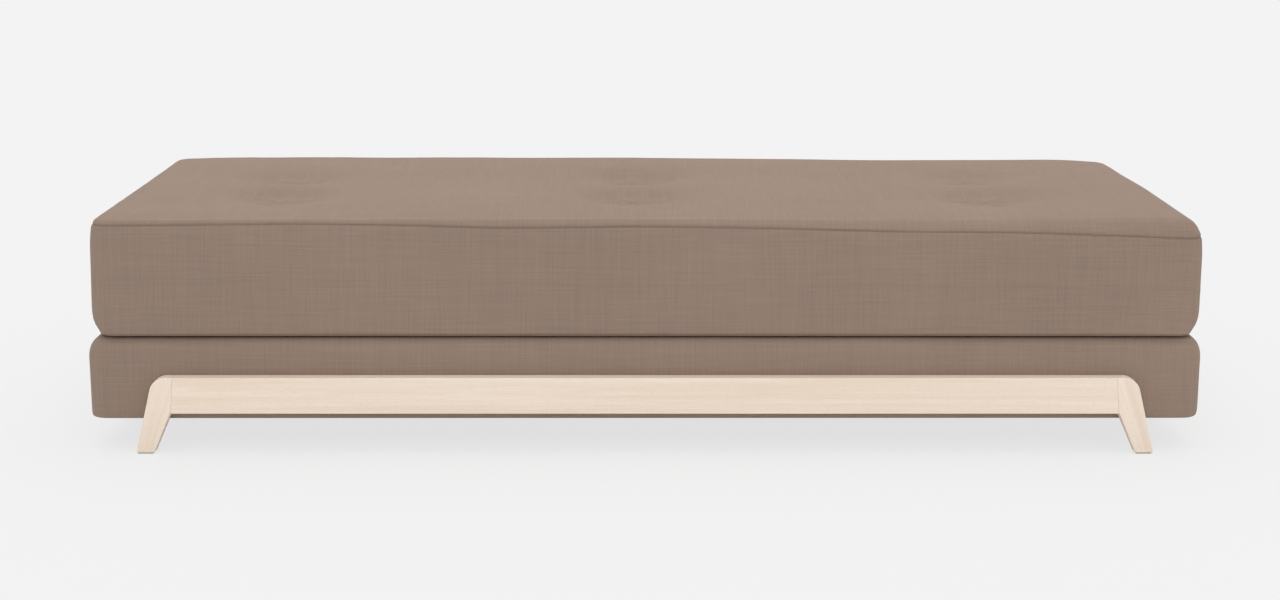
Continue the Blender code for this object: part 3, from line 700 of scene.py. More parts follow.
def swell(obj, cap, held):
    """Blow the cover up as cloth. held is how firmly each point stays, from 0 to 1."""
    start = read_points(obj.data)
    group = obj.vertex_groups.new(name="held")
    for index in np.nonzero(held > 0)[0]:
        group.add([int(index)], float(held[index]), "REPLACE")
    cloth = obj.modifiers.new("swell", "CLOTH")
    cloth.settings.vertex_group_mass = group.name
    cloth.settings.use_pressure = True
    cloth.settings.uniform_pressure_force = PRESSURE
    cloth.settings.effector_weights.gravity = 0
    cloth.point_cache.frame_start = 1
    cloth.point_cache.frame_end = SWELL_FRAMES
    for number in range(1, SWELL_FRAMES + 1):
        scene.frame_set(number)
    shown = obj.evaluated_get(bpy.context.evaluated_depsgraph_get())
    moved = read_points(shown.data) - start
    obj.modifiers.remove(cloth)
    obj.vertex_groups.remove(group)
    scene.frame_set(1)
    far = np.linalg.norm(moved, axis=1, keepdims=True) + 1e-9
    write_points(obj.data, start + moved / far * cap * np.tanh(far / cap))
    print(obj.name, "swelled by up to", round(float(far.max()) * 1000, 1), "mm, before the cap of",
          round(cap * 1000, 1), "mm")


def subdivide(obj):
    """Make one round of subdivision part of the mesh, and return it."""
    rounder = obj.modifiers.new("rounder", "SUBSURF")
    rounder.levels = rounder.render_levels = 1
    keep_modified(obj, rounder)
    return obj.data


print("simulation runs")

# %% [markdown]
# ## Sewing and softness
# A seam pulls the cloth into a fine groove. Beside it stand two low lips, and slight gathers run out
# from it. The rest of the cloth is soft: over foam it is never quite flat, so slow noise moves it by
# less than a millimetre.

# %% Sewing and softness
SEAM_GROOVE, SEAM_HALF_WIDTH = 0.0013, 0.0020
LIP_PLACE, LIP_WIDTH, LIP_HEIGHT = 2.6, 2.2, 0.25  # against the groove's half width and depth
GATHER_HEIGHT, GATHER_REACH = 0.0006, 0.022
GATHERS = ((0.034, 1.0), (0.016, 0.5))  # width and share of the gathers
SHADE_WIDTH = 1.2  # width of a seam's painted shade, against its half width
SEED_STEP = (3.1, 7.7, 1.3)  # how far each seed moves in the noise


def rough(points, scale, seed):
    """Smooth noise between about -1 and 1 at each point, with bumps this many metres across."""
    shift = Vector([seed * step for step in SEED_STEP])
    return np.array([noise.noise(Vector(p) / scale + shift) for p in points])


def sew(mesh, seed):
    """Pull the cloth in along its seams, gather it slightly beside them, and paint shade along the
    seam.
    """
    points, normals, away = read_points(mesh), read_normals(mesh), read_attribute(mesh, SEAM_DISTANCE)
    near = bell(away, SEAM_HALF_WIDTH)
    lips = bell(np.abs(away) - LIP_PLACE * SEAM_HALF_WIDTH, LIP_WIDTH * SEAM_HALF_WIDTH)
    beside = np.exp(-np.abs(away) / GATHER_REACH) * (1 - near)
    gathers = sum(
        share * rough(points, width, seed + k) for k, (width, share) in enumerate(GATHERS)
    )
    push = SEAM_GROOVE * (LIP_HEIGHT * lips - near) + GATHER_HEIGHT * gathers * beside
    write_points(mesh, points + normals * push[:, None])
    # painted shade in the seam's groove
    write_attribute(mesh, SEAM_SHADE, bell(away, SHADE_WIDTH * SEAM_HALF_WIDTH))


def soften(mesh, height, scale, seed, start, fade):
    """Add slow undulation along the normals: none below start, and all of it fade metres higher."""
    points = read_points(mesh)
    wave = height * rough(points, scale, seed) * np.clip((points[:, 2] - start) / fade, 0, 1)
    write_points(mesh, points + read_normals(mesh) * wave[:, None])


print("seams", 1000 * SEAM_GROOVE, "mm deep")

# %% [markdown]
# ## The mattress
# The upper layer is a foam mattress in a boxed cover, with six tufts: blind stitches that pull the
# top down in two rows of three. In the photo its top seam is not straight. It wanders, and drops
# towards the right end, where the top panel rolls over the edge. The heights below are read along
# the front, from left to right, and smoothed to one flowing line.

# %% The mattress's measures
MATTRESS_LOW, MATTRESS_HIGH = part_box("mattress_underside")[0].z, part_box("mattress_cover")[1].z
MATTRESS_CORNER = 0.038  # no edge is deeper at a corner, or the panel there would turn over
MATTRESS_COUNTS = (118, 52)
SHRINK = 0.0010  # the start shape is this much smaller all round
MATTRESS_HALF = (0.998 - SHRINK, 0.400 - SHRINK)
DRAW_IN = 0.003  # how far the long sides pull in between the corners
# Each end instead stands out: left end, right end
END_OUT = np.array([0.0, 0.0050])
END_BULGE = np.array([0.009, 0.001])  # more towards the back
END_LEAN = np.array([0.025, 0.0])  # more towards the bottom, per metre
FRONT_LIP, END_LIP = (0.008, 0.018), (0.032, 0.036)  # depth and rise of the lower edge
CORNER_DROP, DROP_REACH = np.array([0.003, 0.008]), 0.09  # the back corners are soft, and sink
LOW_SEAM = 0.007  # distance of the low seam from the bottom panel's rim
SEAM_DROP = 0.0008  # the top seam is at least this much lower than the top panel's rim
RIM_MARGIN = 0.003  # from the end of an edge's curve to the rim of the panel
# Along the front: place, seam height, height of the top panel's rim, depth and rise of the edge
EDGE = np.array([
    (-1.00, 0.4130, 0.4232, 0.015, 0.040),
    (-0.80, 0.4145, 0.4235, 0.015, 0.037),
    (-0.61, 0.4165, 0.4238, 0.016, 0.036),
    (-0.43, 0.4140, 0.4238, 0.017, 0.036),
    (-0.25, 0.4085, 0.4235, 0.019, 0.038),
    (0.00, 0.4115, 0.4235, 0.019, 0.038),
    (0.12, 0.4100, 0.4232, 0.021, 0.040),
    (0.29, 0.4065, 0.4217, 0.026, 0.043),
    (0.47, 0.4010, 0.4205, 0.034, 0.047),
    (0.65, 0.4010, 0.4210, 0.040, 0.049),
    (0.83, 0.3955, 0.4228, 0.038, 0.052),
    (1.00, 0.3885, 0.4222, 0.030, 0.066),
])
FLOW_STEPS, FLOW_WIDTH = 801, 81  # steps along the front, and how many of them the smoothing spans


def flowing(places, heights, x):
    """A smooth line through heights given at places, at each x."""
    fine = np.linspace(places[0], places[-1], FLOW_STEPS)
    width = np.hanning(FLOW_WIDTH)
    padded = np.pad(np.interp(fine, places, heights), FLOW_WIDTH // 2, mode="edge")
    return np.interp(x, fine, np.convolve(padded, width / width.sum(), mode="valid"))


def drawn_in(points):
    """Pull the long sides in and let the ends stand out."""
    x, y = points[..., 0] / MATTRESS_HALF[0], points[..., 1] / MATTRESS_HALF[1]
    end = (x > 0).astype(int)
    down = (MATTRESS_LOW + MATTRESS_HIGH) / 2 - points[..., 2]
    out = points.copy()
    out[..., 0] += (END_OUT[end] + END_BULGE[end] * ((1 + y) / 2) ** 2 + END_LEAN[end] * down) * x
    out[..., 1] -= DRAW_IN * y * (1 - x**2)
    return out


print("mattress from", round(MATTRESS_LOW, 4), "to", round(MATTRESS_HIGH, 4), "m")

# %% [markdown]
# The sides come first. The lower edge is tight along the front and rounder at the ends, and the
# back corners sink a little. The low seam stays close to the underside, and the top seam follows
# the heights above.

# %% The mattress's sides
TUFT_COLUMNS, TUFT_ROWS = (-0.692, -0.022, 0.648), (-0.12, 0.12)

plan, normals = outline(MATTRESS_HALF, MATTRESS_CORNER, MATTRESS_COUNTS, TUFT_COLUMNS, TUFT_ROWS)
along = plan[:, 0]
seam_height, rim_height, edge_depth, edge_rise = (
    flowing(EDGE[:, 0], EDGE[:, column], along) for column in (1, 2, 3, 4)
)
to_back = np.clip(plan[:, 1] / MATTRESS_HALF[1], 0, 1)
from_end = MATTRESS_HALF[0] - np.abs(along)
drop = CORNER_DROP[(along > 0).astype(int)] * bell(from_end, DROP_REACH) * to_back
rim_height = rim_height - SHRINK - drop
seam_height = np.minimum(seam_height - SHRINK / 2, rim_height - SEAM_DROP)
at_end = normals[:, 0] ** 2  # 1 at the short ends, 0 along the front and the back
low_edge = between(FRONT_LIP, END_LIP, at_end)
insets, heights = side_profile(
    MATTRESS_LOW,
    rim_height,
    low_edge,
    (edge_depth, edge_rise),
    (low_edge[0] + RIM_MARGIN, edge_depth + RIM_MARGIN),
)
climbed = climb(insets, heights)
top_seam = np.array([np.interp(*at) for at in zip(seam_height, heights, climbed)])
stops = ring_stops(np.full(len(plan), LOW_SEAM), top_seam, climbed[:, -1])
rings = drawn_in(side_rings(plan, normals, insets, heights, stops))
low_ring = 1 + LOW_SEAM_RINGS.index(0.0)
top_ring = int(np.argmin(np.abs(stops[0] - top_seam[0])))
print(len(rings), "rings; low seam at ring", low_ring, "and top seam at ring", top_ring)

# %% [markdown]
# The top panel then gets its six hollows. A real tuft pulls a wide, soft hollow, because the foam
# under it gives way, so each is level in the middle and rises in half a wave. Sculpting would do it
# too, but a rule gives six equal hollows at measured places.

# %% The mattress's start shape
SLACK = 0.0030  # dip of the top panel's middle, before it swells
TUFTS = [(x, y) for y in TUFT_ROWS for x in TUFT_COLUMNS]
TUFT_FLAT, TUFT_RADIUS = 0.045, 0.120  # a hollow is level this far out, and ends there
TUFT_LOW = 0.4085  # height of the cloth at a tuft

floor_grid, top_grid = panel_grid(rings[0], MATTRESS_COUNTS), panel_grid(rings[-1], MATTRESS_COUNTS)
x, y = top_grid[..., 0] / MATTRESS_HALF[0], top_grid[..., 1] / MATTRESS_HALF[1]
top_grid[..., 2] -= SLACK * (1 - x**4) * (1 - y**4)
for tuft_x, tuft_y in TUFTS:
    away = np.hypot(top_grid[..., 0] - tuft_x, top_grid[..., 1] - tuft_y)
    depth = top_grid[..., 2].flat[np.argmin(away)] - TUFT_LOW
    slope = np.clip((away - TUFT_FLAT) / (TUFT_RADIUS - TUFT_FLAT), 0, 1)
    top_grid[..., 2] -= depth * (0.5 + 0.5 * np.cos(np.pi * slope))
mesh = layer_mesh(
    "sewn_mattress", rings, stops, (floor_grid, top_grid), MATTRESS_COUNTS, (low_ring, top_ring)
)
mattress = add_piece("sewn_mattress", mesh, taupe_weave)
print("the mattress starts with", len(mesh.vertices), "points")

# %% [markdown]
# The cover may swell on its free front and between the tufts. It is held where the tufts pull it,
# where its edges turn, and on its flat underside. After that it is made finer, softened and sewn.

# %% The mattress swells and is sewn
TOP_PART = MATTRESS_LOW + 0.15  # above this are the top panel and its edges
TUFT_HOLD, TUFT_HOLD_FADE = 1.3, 0.065  # cloth is held fully near a tuft, and free 85 mm away
EDGE_ZONE, TURN_TOP, TURN_LOW = 0.045, 0.060, 0.036  # where edges turn: from outside, top and bottom
EDGE_HOLD, UNDERSIDE = 0.85, 0.002  # edges are held this firmly, and fully up to this height
MATTRESS_SWELL = 0.0045


def tuft_distance(points):
    return np.min([np.hypot(points[:, 0] - x, points[:, 1] - y) for x, y in TUFTS], axis=0)


points = read_points(mattress.data)
tuft_hold = np.clip(TUFT_HOLD - tuft_distance(points) / TUFT_HOLD_FADE, 0, 1)
held = np.where(points[:, 2] > TOP_PART, tuft_hold, 0)
near_edge = np.min(MATTRESS_HALF - np.abs(points[:, :2]), axis=1) < EDGE_ZONE
turning = (points[:, 2] > MATTRESS_HIGH - TURN_TOP) | (points[:, 2] < MATTRESS_LOW + TURN_LOW)
held = np.where(near_edge & turning, EDGE_HOLD, held)
held = np.where(points[:, 2] < MATTRESS_LOW + UNDERSIDE, 1.0, held)
swell(mattress, MATTRESS_SWELL, held)
mesh = subdivide(mattress)
soften(mesh, height=0.0009, scale=0.16, seed=3, start=MATTRESS_LOW + 0.004, fade=0.03)
sew(mesh, seed=11)
print(mattress.name, "has", len(mesh.vertices), "points")

# %% [markdown]
# Up close, a tuft is a small point with soft folds running out from it. Its cloth gets painted shade,
# darkest at the stitch, because light hardly gets into the gathered cloth.

# %% The tufts
PINCH, PINCH_WIDTH = 0.0046, 0.014
FOLD_HEIGHT, FOLD_PLACE, FOLD_WIDTH = 0.0012, 0.034, 0.026
FOLDS = ((7, 1, 1.0), (4, 2, 0.6))  # number of folds round a tuft, turn at each tuft, share
TOP_ROOM, TOP_EASE = 0.0010, 0.0018  # from 1 mm under the CAD's top, cloth is eased to 1.8 mm more
TUFT_SHADE, TUFT_SHADE_RADIUS, TUFT_SHADE_FADE = 0.10, 0.095, 0.014  # painted shade: a hollow is a little darker
TUFT_POINT_SHADE, TUFT_POINT = 0.50, 0.008  # and the painted shade is darkest at the stitch, where the cloth gathers


def pinch_tufts(mesh):
    """Draw each tuft to a point, with soft folds running out from it, and paint shade in its hollow."""
    points = read_points(mesh)
    top = points[:, 2] > TOP_PART
    for number, (x, y) in enumerate(TUFTS):
        across, back = points[:, 0] - x, points[:, 1] - y
        away, angle = np.hypot(across, back), np.arctan2(back, across)
        folds = sum(share * np.cos(count * angle + turn * number) for count, turn, share in FOLDS)
        sink = PINCH * bell(away, PINCH_WIDTH)
        sink += FOLD_HEIGHT * folds * bell(away - FOLD_PLACE, FOLD_WIDTH)
        points[:, 2] -= np.where(top, sink, 0)
    high = MATTRESS_HIGH - TOP_ROOM
    over = points[:, 2] > high
    points[over, 2] = high + TOP_EASE * np.tanh((points[over, 2] - high) / TOP_EASE)
    write_points(mesh, points)
    away = tuft_distance(points)
    hollow = TUFT_SHADE / (1 + np.exp((away - TUFT_SHADE_RADIUS) / TUFT_SHADE_FADE))
    hollow += TUFT_POINT_SHADE * bell(away, TUFT_POINT)
    shade = np.maximum(read_attribute(mesh, SEAM_SHADE), np.where(top, hollow, 0))
    write_attribute(mesh, SEAM_SHADE, shade)


pinch_tufts(mesh)
mesh.shade_smooth()
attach(mattress, "mattress")
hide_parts("mattress_cover", "mattress_underside")
points = read_points(mesh)
print("mattress box", points.min(0).round(4), points.max(0).round(4))

# %% [markdown]
# ## The base
# The lower layer is a slatted timber frame with a thin foam top, and the same cloth pulled taut over
# it and turned under. Its top edges are soft, and its bottom edge is nearly sharp, where cloth goes
# round the boards. It is made with the same rings, without a top seam, and swells only a little. The
# bottom panel steps up behind the turned edge, so that the dust cloth lies in it.

# %% The base's start shape
BASE_LOW, BASE_HIGH = (corner.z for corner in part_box("base_cover"))
BASE_CORNER = 0.034  # more than the upper edge is deep, or the panel there would turn over
BASE_COUNTS = (96, 42)
BASE_SHRINK = 0.0008
BASE_HALF = (1.0080 - BASE_SHRINK, 0.400 - BASE_SHRINK)
BASE_ROOM = 0.0006  # from the start shape up to the top
BASE_FRONT_LIP, BASE_END_LIP = (0.018, 0.036), (0.0290, 0.038)  # depth and rise of the upper edge
BASE_LEFT_EDGE, BASE_RIGHT_EDGE = (0.0022, 0.004), (0.0052, 0.009)  # and of the lower edge
TURNED_IN, STEP_IN = 0.0060, 0.0066  # insets of the turned edge and of the step behind it
STEP_ROOM = 0.0004  # from the dust cloth up to the bottom panel
TURN_RINGS = (0.0, 0.003, 0.008)  # rings round the lower edge
# Rings up the side, as shares of the way, closer together where the top edge turns
BASE_RINGS = (0.10, 0.21, 0.32, 0.43, 0.53, 0.61, 0.67, 0.72, 0.77, 0.81, 0.85, 0.89, 0.93, 0.97, 1.0)

plan, normals = outline(BASE_HALF, BASE_CORNER, BASE_COUNTS)
right_share = np.clip(plan[:, 0] / BASE_HALF[0], -1, 1) / 2 + 0.5
top_edge = between(BASE_FRONT_LIP, BASE_END_LIP, normals[:, 0] ** 2)
insets, heights = side_profile(
    BASE_LOW,
    np.full(len(plan), BASE_HIGH - BASE_ROOM),
    between(BASE_LEFT_EDGE, BASE_RIGHT_EDGE, right_share),
    top_edge,
    (TURNED_IN, top_edge[0] + RIM_MARGIN),
)
step_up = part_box("base_dust_cloth")[1].z + STEP_ROOM
insets = np.concatenate([np.full((len(plan), 1), STEP_IN), insets], axis=1)
heights = np.concatenate([np.full((len(plan), 1), step_up), heights], axis=1)
climbed = climb(insets, heights)
stops = [climbed[:, 0], climbed[:, 1]] + [climbed[:, 2] + away for away in TURN_RINGS]
turned, whole = stops[-1], climbed[:, -1]
stops = np.stack(stops + [turned + (whole - turned) * share for share in BASE_RINGS], axis=1)
rings = side_rings(plan, normals, insets, heights, stops)
grids = panel_grid(rings[0], BASE_COUNTS), panel_grid(rings[-1], BASE_COUNTS)
# From the first ring to the last the side is one strip, without a seam
mesh = layer_mesh("sewn_base", rings, stops, grids, BASE_COUNTS, (0, len(rings) - 1))
base = add_piece("sewn_base", mesh, taupe_weave)
print("the base starts with", len(mesh.vertices), "points")

# %% [markdown]
# The base's cloth is pulled tight, so it is held along its bottom and its top edge and swells only
# on its sides. Its top is kept flat, so that the mattress and the flap lie on it.

# %% The base swells
BASE_HELD_LOW, BASE_HELD_TOP, BASE_TOP_HOLD = 0.012, 0.030, 0.9  # fully below, nearly so on top
BASE_SWELL = 0.0022
BASE_OVER = 0.0002  # how far the cloth may stand over its CAD top

points = read_points(mesh)
held = np.where(points[:, 2] < BASE_LOW + BASE_HELD_LOW, 1.0, 0.0)
held = np.where(points[:, 2] > BASE_HIGH - BASE_HELD_TOP, BASE_TOP_HOLD, held)
swell(base, BASE_SWELL, held)
mesh = subdivide(base)
soften(mesh, height=0.0005, scale=0.14, seed=5, start=BASE_LOW + 0.01, fade=0.02)
points = read_points(mesh)
points[:, 2] = np.minimum(points[:, 2], BASE_HIGH + BASE_OVER)
write_points(mesh, points)
write_attribute(mesh, SEAM_SHADE, np.zeros(len(points)))
mesh.shade_smooth()
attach(base, "base")
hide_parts("base_cover")
print("base box", points.min(0).round(4), points.max(0).round(4))

# %% [markdown]
# ## The hinge flap
# A strip of the same cloth, hemmed along both long edges, joins the two layers at the front. Closed,
# it lies unseen between them. Open, it bridges the gap. A flat grid with a thickness would look like
# card, so it is a thin slab drawn from its section, thicker at the hems. It is on the body that
# slides out as the mattress folds.

# %% The hinge flap
FLAP_PIECES = 93
# Half the flap's section: distance from the edge, and share of the full thickness there
HEM = ((0.0, 0.35), (0.0006, 0.95), (0.008, 1.0), (0.009, 0.7))


def flap_mesh(name, low, high):
    """A thin closed slab along X, slightly thicker where its long edges are hemmed."""
    middle, half_thick = (low.z + high.z) / 2, (high.z - low.z) / 2
    upper = [(low.y + away, half_thick * share) for away, share in HEM]
    upper += [(high.y - away, half_thick * share) for away, share in HEM[::-1]]
    section = [(y, middle + z) for y, z in upper] + [(y, middle - z) for y, z in upper[::-1]]
    bm = bmesh.new()
    cloth = bm.loops.layers.uv.new(CLOTH_MAP)
    places = [low.x + (high.x - low.x) * k / FLAP_PIECES for k in range(FLAP_PIECES + 1)]
    rows = [[bm.verts.new((x, y, z)) for y, z in section] for x in places]
    for first, second in zip(rows, rows[1:]):
        for k in range(len(section)):
            n = (k + 1) % len(section)
            bm.faces.new((first[k], second[k], second[n], first[n]))
    bm.faces.new(rows[0])
    bm.faces.new(rows[-1][::-1])
    bmesh.ops.recalc_face_normals(bm, faces=bm.faces)
    for face in bm.faces:
        for loop in face.loops:
            loop[cloth].uv = loop.vert.co.xy
    mesh = bpy.data.meshes.new(name)
    bm.to_mesh(mesh)
    bm.free()
    return mesh


flap_low, flap_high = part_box("hinge_flap")
flap = add_piece("flap_strip", flap_mesh("flap_strip", flap_low, flap_high), taupe_weave)
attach(flap, "flap")
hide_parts("hinge_flap")
print("flap", (flap_high - flap_low).to_tuple(4))

# %% [markdown]
# ## The dust cloth
# A black non-woven sheet closes the base from below. It is pulled tight and stapled along its edges,
# and it waves slightly between the staples. A grid with rounded corners is made first, moved up and
# down with noise, and then given its thickness.

# %% The dust cloth
DUST_CORNER = 0.027
DUST_COUNTS = (60, 26)
DUST_THICKNESS = 0.0005
DUST_WAVE, DUST_WAVE_WIDTH, DUST_WAVE_FADE = 0.0003, 0.11, 0.05  # none at the edges

cloth_low, cloth_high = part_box("base_dust_cloth")
dust_half = ((cloth_high.x - cloth_low.x) / 2, (cloth_high.y - cloth_low.y) / 2)
plan, _ = outline(dust_half, DUST_CORNER, DUST_COUNTS)
border = np.concatenate([plan, np.zeros((len(plan), 1))], axis=1)
grid = panel_grid(border, DUST_COUNTS).reshape(-1, 3)
slack = np.clip(np.min(dust_half - np.abs(grid[:, :2]), axis=1) / DUST_WAVE_FADE, 0, 1)
wave = DUST_WAVE * slack * rough(grid, DUST_WAVE_WIDTH, seed=8)
grid[:, 2] = cloth_high.z - DUST_THICKNESS + wave
nx, ny = DUST_COUNTS
row = ny + 1  # points across
quads = [(k, k + 1, k + row + 1, k + row) for i in range(nx) for k in range(i * row, i * row + ny)]
mesh = bpy.data.meshes.new("dust_sheet")
mesh.from_pydata(grid.tolist(), [], quads)
dust_sheet = add_piece("dust_sheet", mesh, dust_cloth)
wall = dust_sheet.modifiers.new("thickness", "SOLIDIFY")
wall.thickness = DUST_THICKNESS
wall.offset = -1
keep_modified(dust_sheet, wall)
dust_sheet.data.shade_smooth()
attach(dust_sheet, "base")
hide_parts("base_dust_cloth")

# %% [markdown]
# ## Stitches and staples
# A seam is a run of equal stitches, and the dust cloth is held by a run of staples. Both are one
# short arched bar, repeated along a path and laid on the surface, so one Geometry Nodes tree makes
# all of them. The path is a mesh of edges whose points know which way is out. The tree ends with
# real geometry and a material, and the result is kept as a plain mesh.

# %% A tree for runs of stitches
RUN_SOCKETS = {
    "Path": "NodeSocketGeometry",
    "Spacing": "NodeSocketFloat",
    "Length": "NodeSocketFloat",
    "Arch": "NodeSocketFloat",
    "Thickness": "NodeSocketFloat",
    "Wander": "NodeSocketFloat",
    "Finish": "NodeSocketMaterial",
}
ALIGN = "FunctionNodeAlignRotationToVector"


def make_run_tree():
    """A tree that repeats a short arched bar along a path, standing out along its 'out' vectors."""
    tree = bpy.data.node_groups.new("stitch_run", "GeometryNodeTree")
    keys = {}
    for name, kind in RUN_SOCKETS.items():
        socket = tree.interface.new_socket(name, in_out="INPUT", socket_type=kind)
        keys[name] = socket.identifier
    tree.interface.new_socket("Run", in_out="OUTPUT", socket_type="NodeSocketGeometry")
    given = add_node(tree, "NodeGroupInput").outputs
    line = add_node(tree, "GeometryNodeMeshToCurve", {"Mesh": given["Path"]})
    spots = {"Curve": line, "Length": given["Spacing"]}
    spots = add_node(tree, "GeometryNodeCurveToPoints", spots, mode="LENGTH").outputs
    # Each bar lies along the path, faces outwards, and swings a little to either side
    out = {"Name": "out"}
    out = add_node(tree, "GeometryNodeInputNamedAttribute", out, data_type="FLOAT_VECTOR")
    lie = add_node(tree, ALIGN, {"Vector": spots["Tangent"]}, axis="X")
    lie = add_node(tree, ALIGN, {"Rotation": lie, "Vector": out}, axis="Z", pivot_axis="X")
    less = add_node(tree, MATH, {0: given["Wander"], 1: -1.0}, operation="MULTIPLY")
    swing = {2: less, 3: given["Wander"], "Seed": 4}
    swing = add_node(tree, "FunctionNodeRandomValue", swing, data_type="FLOAT").outputs[1]
    swing = add_node(tree, JOIN, {2: swing})
    lie = add_node(tree, "FunctionNodeRotateRotation", {0: lie, 1: swing}, rotation_space="LOCAL")
    # The bar is an arched line with a round section
    ends = []
    for share in (-0.5, 0.5):
        reach = add_node(tree, MATH, {0: given["Length"], 1: share}, operation="MULTIPLY")
        ends.append(add_node(tree, JOIN, {0: reach}))
    crest = add_node(tree, JOIN, {2: given["Arch"]})
    arch = {"Resolution": 4, "Start": ends[0], "Middle": crest, "End": ends[1]}
    arch = add_node(tree, "GeometryNodeCurveQuadraticBezier", arch)
    ring = {"Resolution": 6, "Radius": given["Thickness"]}
    ring = add_node(tree, "GeometryNodeCurvePrimitiveCircle", ring)
    bar = {"Curve": arch, "Profile Curve": ring, "Fill Caps": True}
    bar = add_node(tree, "GeometryNodeCurveToMesh", bar)
    run = {"Points": spots["Points"], "Instance": bar, "Rotation": lie}
    run = add_node(tree, "GeometryNodeInstanceOnPoints", run)
    run = add_node(tree, "GeometryNodeRealizeInstances", {"Geometry": run})
    run = {"Geometry": run, "Material": given["Finish"]}
    run = add_node(tree, "GeometryNodeSetMaterial", run)
    add_node(tree, "NodeGroupOutput", {0: run})
    return tree, keys


run_tree, run_keys = make_run_tree()
print(run_tree.name, "takes", sorted(run_keys))

# %% [markdown]
# A path becomes a mesh of edges with the tree on it. What the tree makes is kept as a plain mesh, and
# the path is thrown away.

# %% Laying a run
def make_run(name, paths, finish, body, slot, **sizes):
    """Lay a run along each path, a list of (points, out vectors, closed), and keep it as one mesh."""
    verts, outs, edges = [], [], []
    for points, out, closed in paths:
        first, count = len(verts), len(points)
        verts += [tuple(p) for p in points]
        outs += [tuple(o) for o in out]
        steps = count if closed else count - 1
        edges += [(first + k, first + (k + 1) % count) for k in range(steps)]
    mesh = bpy.data.meshes.new(name + "_path")
    mesh.from_pydata(verts, edges, [])
    stored = mesh.attributes.new("out", "FLOAT_VECTOR", "POINT")
    stored.data.foreach_set("vector", np.asarray(outs, np.float32).ravel())
    guide = bpy.data.objects.new(name + "_path", mesh)
    scene.collection.objects.link(guide)
    run = guide.modifiers.new("run", "NODES")
    run.node_group = run_tree
    for key, value in {**sizes, "Finish": finish}.items():
        run[run_keys[key]] = value
    bpy.context.view_layer.update()
    shown = guide.evaluated_get(bpy.context.evaluated_depsgraph_get())
    result = bpy.data.meshes.new_from_object(shown)
    result.name = name
    result.shade_smooth()
    bpy.data.objects.remove(guide)
    piece = add_piece(name, result, finish)
    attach(piece, body)
    print(name, "has", len(result.polygons), "faces")


print("sizes of a run:", [key for key, kind in RUN_SOCKETS.items() if kind == "NodeSocketFloat"])

# %% [markdown]
# Three runs follow: the mattress's two seams, the flap's two hems and the staples round the dust
# cloth. The seams' paths are rings of the finished mattress, whose points kept their numbers.

# %% The runs themselves
STITCH_LIFT = 0.0003  # the seam's stitches lie this much off the cloth
FLAP_EDGE, FLAP_END, FLAP_POINTS = 0.006, 0.005, 94  # how far in the flap's stitches are
STAPLE_EDGE, STAPLE_CORNER, STAPLE_COUNTS = 0.014, 0.010, (40, 16)

points, normals = read_points(mattress.data), read_normals(mattress.data)
around = 2 * sum(MATTRESS_COUNTS)
seam_paths = []
for ring in (low_ring, top_ring):
    own = slice(ring * around, (ring + 1) * around)
    seam_paths.append((points[own] + STITCH_LIFT * normals[own], normals[own], True))
make_run(
    "mattress_seam_stitches", seam_paths, sewing_thread, "mattress", "taupe_weave",
    Spacing=0.0050, Length=0.0036, Arch=0.0006, Thickness=0.0004, Wander=0.05,
)

flap_paths = []
places = np.linspace(flap_low.x + FLAP_END, flap_high.x - FLAP_END, FLAP_POINTS)
for edge in (flap_low.y + FLAP_EDGE, flap_high.y - FLAP_EDGE):
    line = [(x, edge, flap_high.z) for x in places]
    flap_paths.append((line, [(0, 0, 1)] * len(line), False))
make_run(
    "flap_stitches", flap_paths, sewing_thread, "flap", "taupe_weave",
    Spacing=0.0045, Length=0.0032, Arch=0.0003, Thickness=0.0003, Wander=0.04,
)

inner = [size - STAPLE_EDGE for size in dust_half]
plan, _ = outline(inner, STAPLE_CORNER, STAPLE_COUNTS)
line = [(x, y, cloth_high.z - 2 * DUST_THICKNESS) for x, y in plan]
make_run(
    "dust_sheet_staples", [(line, [(0, 0, -1)] * len(line), True)], zinc_steel, "base", "zinc_steel",
    Spacing=0.045, Length=0.010, Arch=0.0003, Thickness=0.0005, Wander=0.25,
)

# %% [markdown]
# ## Rails and legs
# Each leg frame is a rail with a leg joined to either end, all cut from board. A leg leans out,
# tapers down to its foot, and turns into the rail with a round shoulder. The outline is drawn out
# to the board's thickness and its edges are eased with a small bevel, except where leg and rail meet.
# The CAD has the same boards with coarser arcs. These add the grain's UV map and a painted highlight on
# the eased edges.

# %% Boards
EASED_EDGE, EASED_STEPS = 0.0018, 3
SHARP_ANGLE = math.radians(50)  # edges that turn more than this stay crisp: the faces of the joints
FLAT_AREA = 4e-4  # faces larger than this are a board's flats, and the rest its eased edges
GRAIN_DRIFT = 0.37  # a board's grain moves this far across for each metre along


def rounded_corner(before, corner, after, radius, steps):
    """Points of the arc that rounds a corner between two straight edges."""
    before, corner, after = Vector(before), Vector(corner), Vector(after)
    towards, away = (before - corner).normalized(), (after - corner).normalized()
    half_angle = towards.angle(away) / 2
    start = corner + towards * radius / math.tan(half_angle)
    end = corner + away * radius / math.tan(half_angle)
    centre = corner + (towards + away).normalized() * radius / math.sin(half_angle)
    turn = (start - centre).angle(end - centre)
    arc = []
    for k in range(steps + 1):
        shares = math.sin(turn * (1 - k / steps)), math.sin(turn * k / steps)
        spoke = (start - centre) * shares[0] + (end - centre) * shares[1]
        arc.append(tuple(centre + spoke / math.sin(turn)))
    return arc


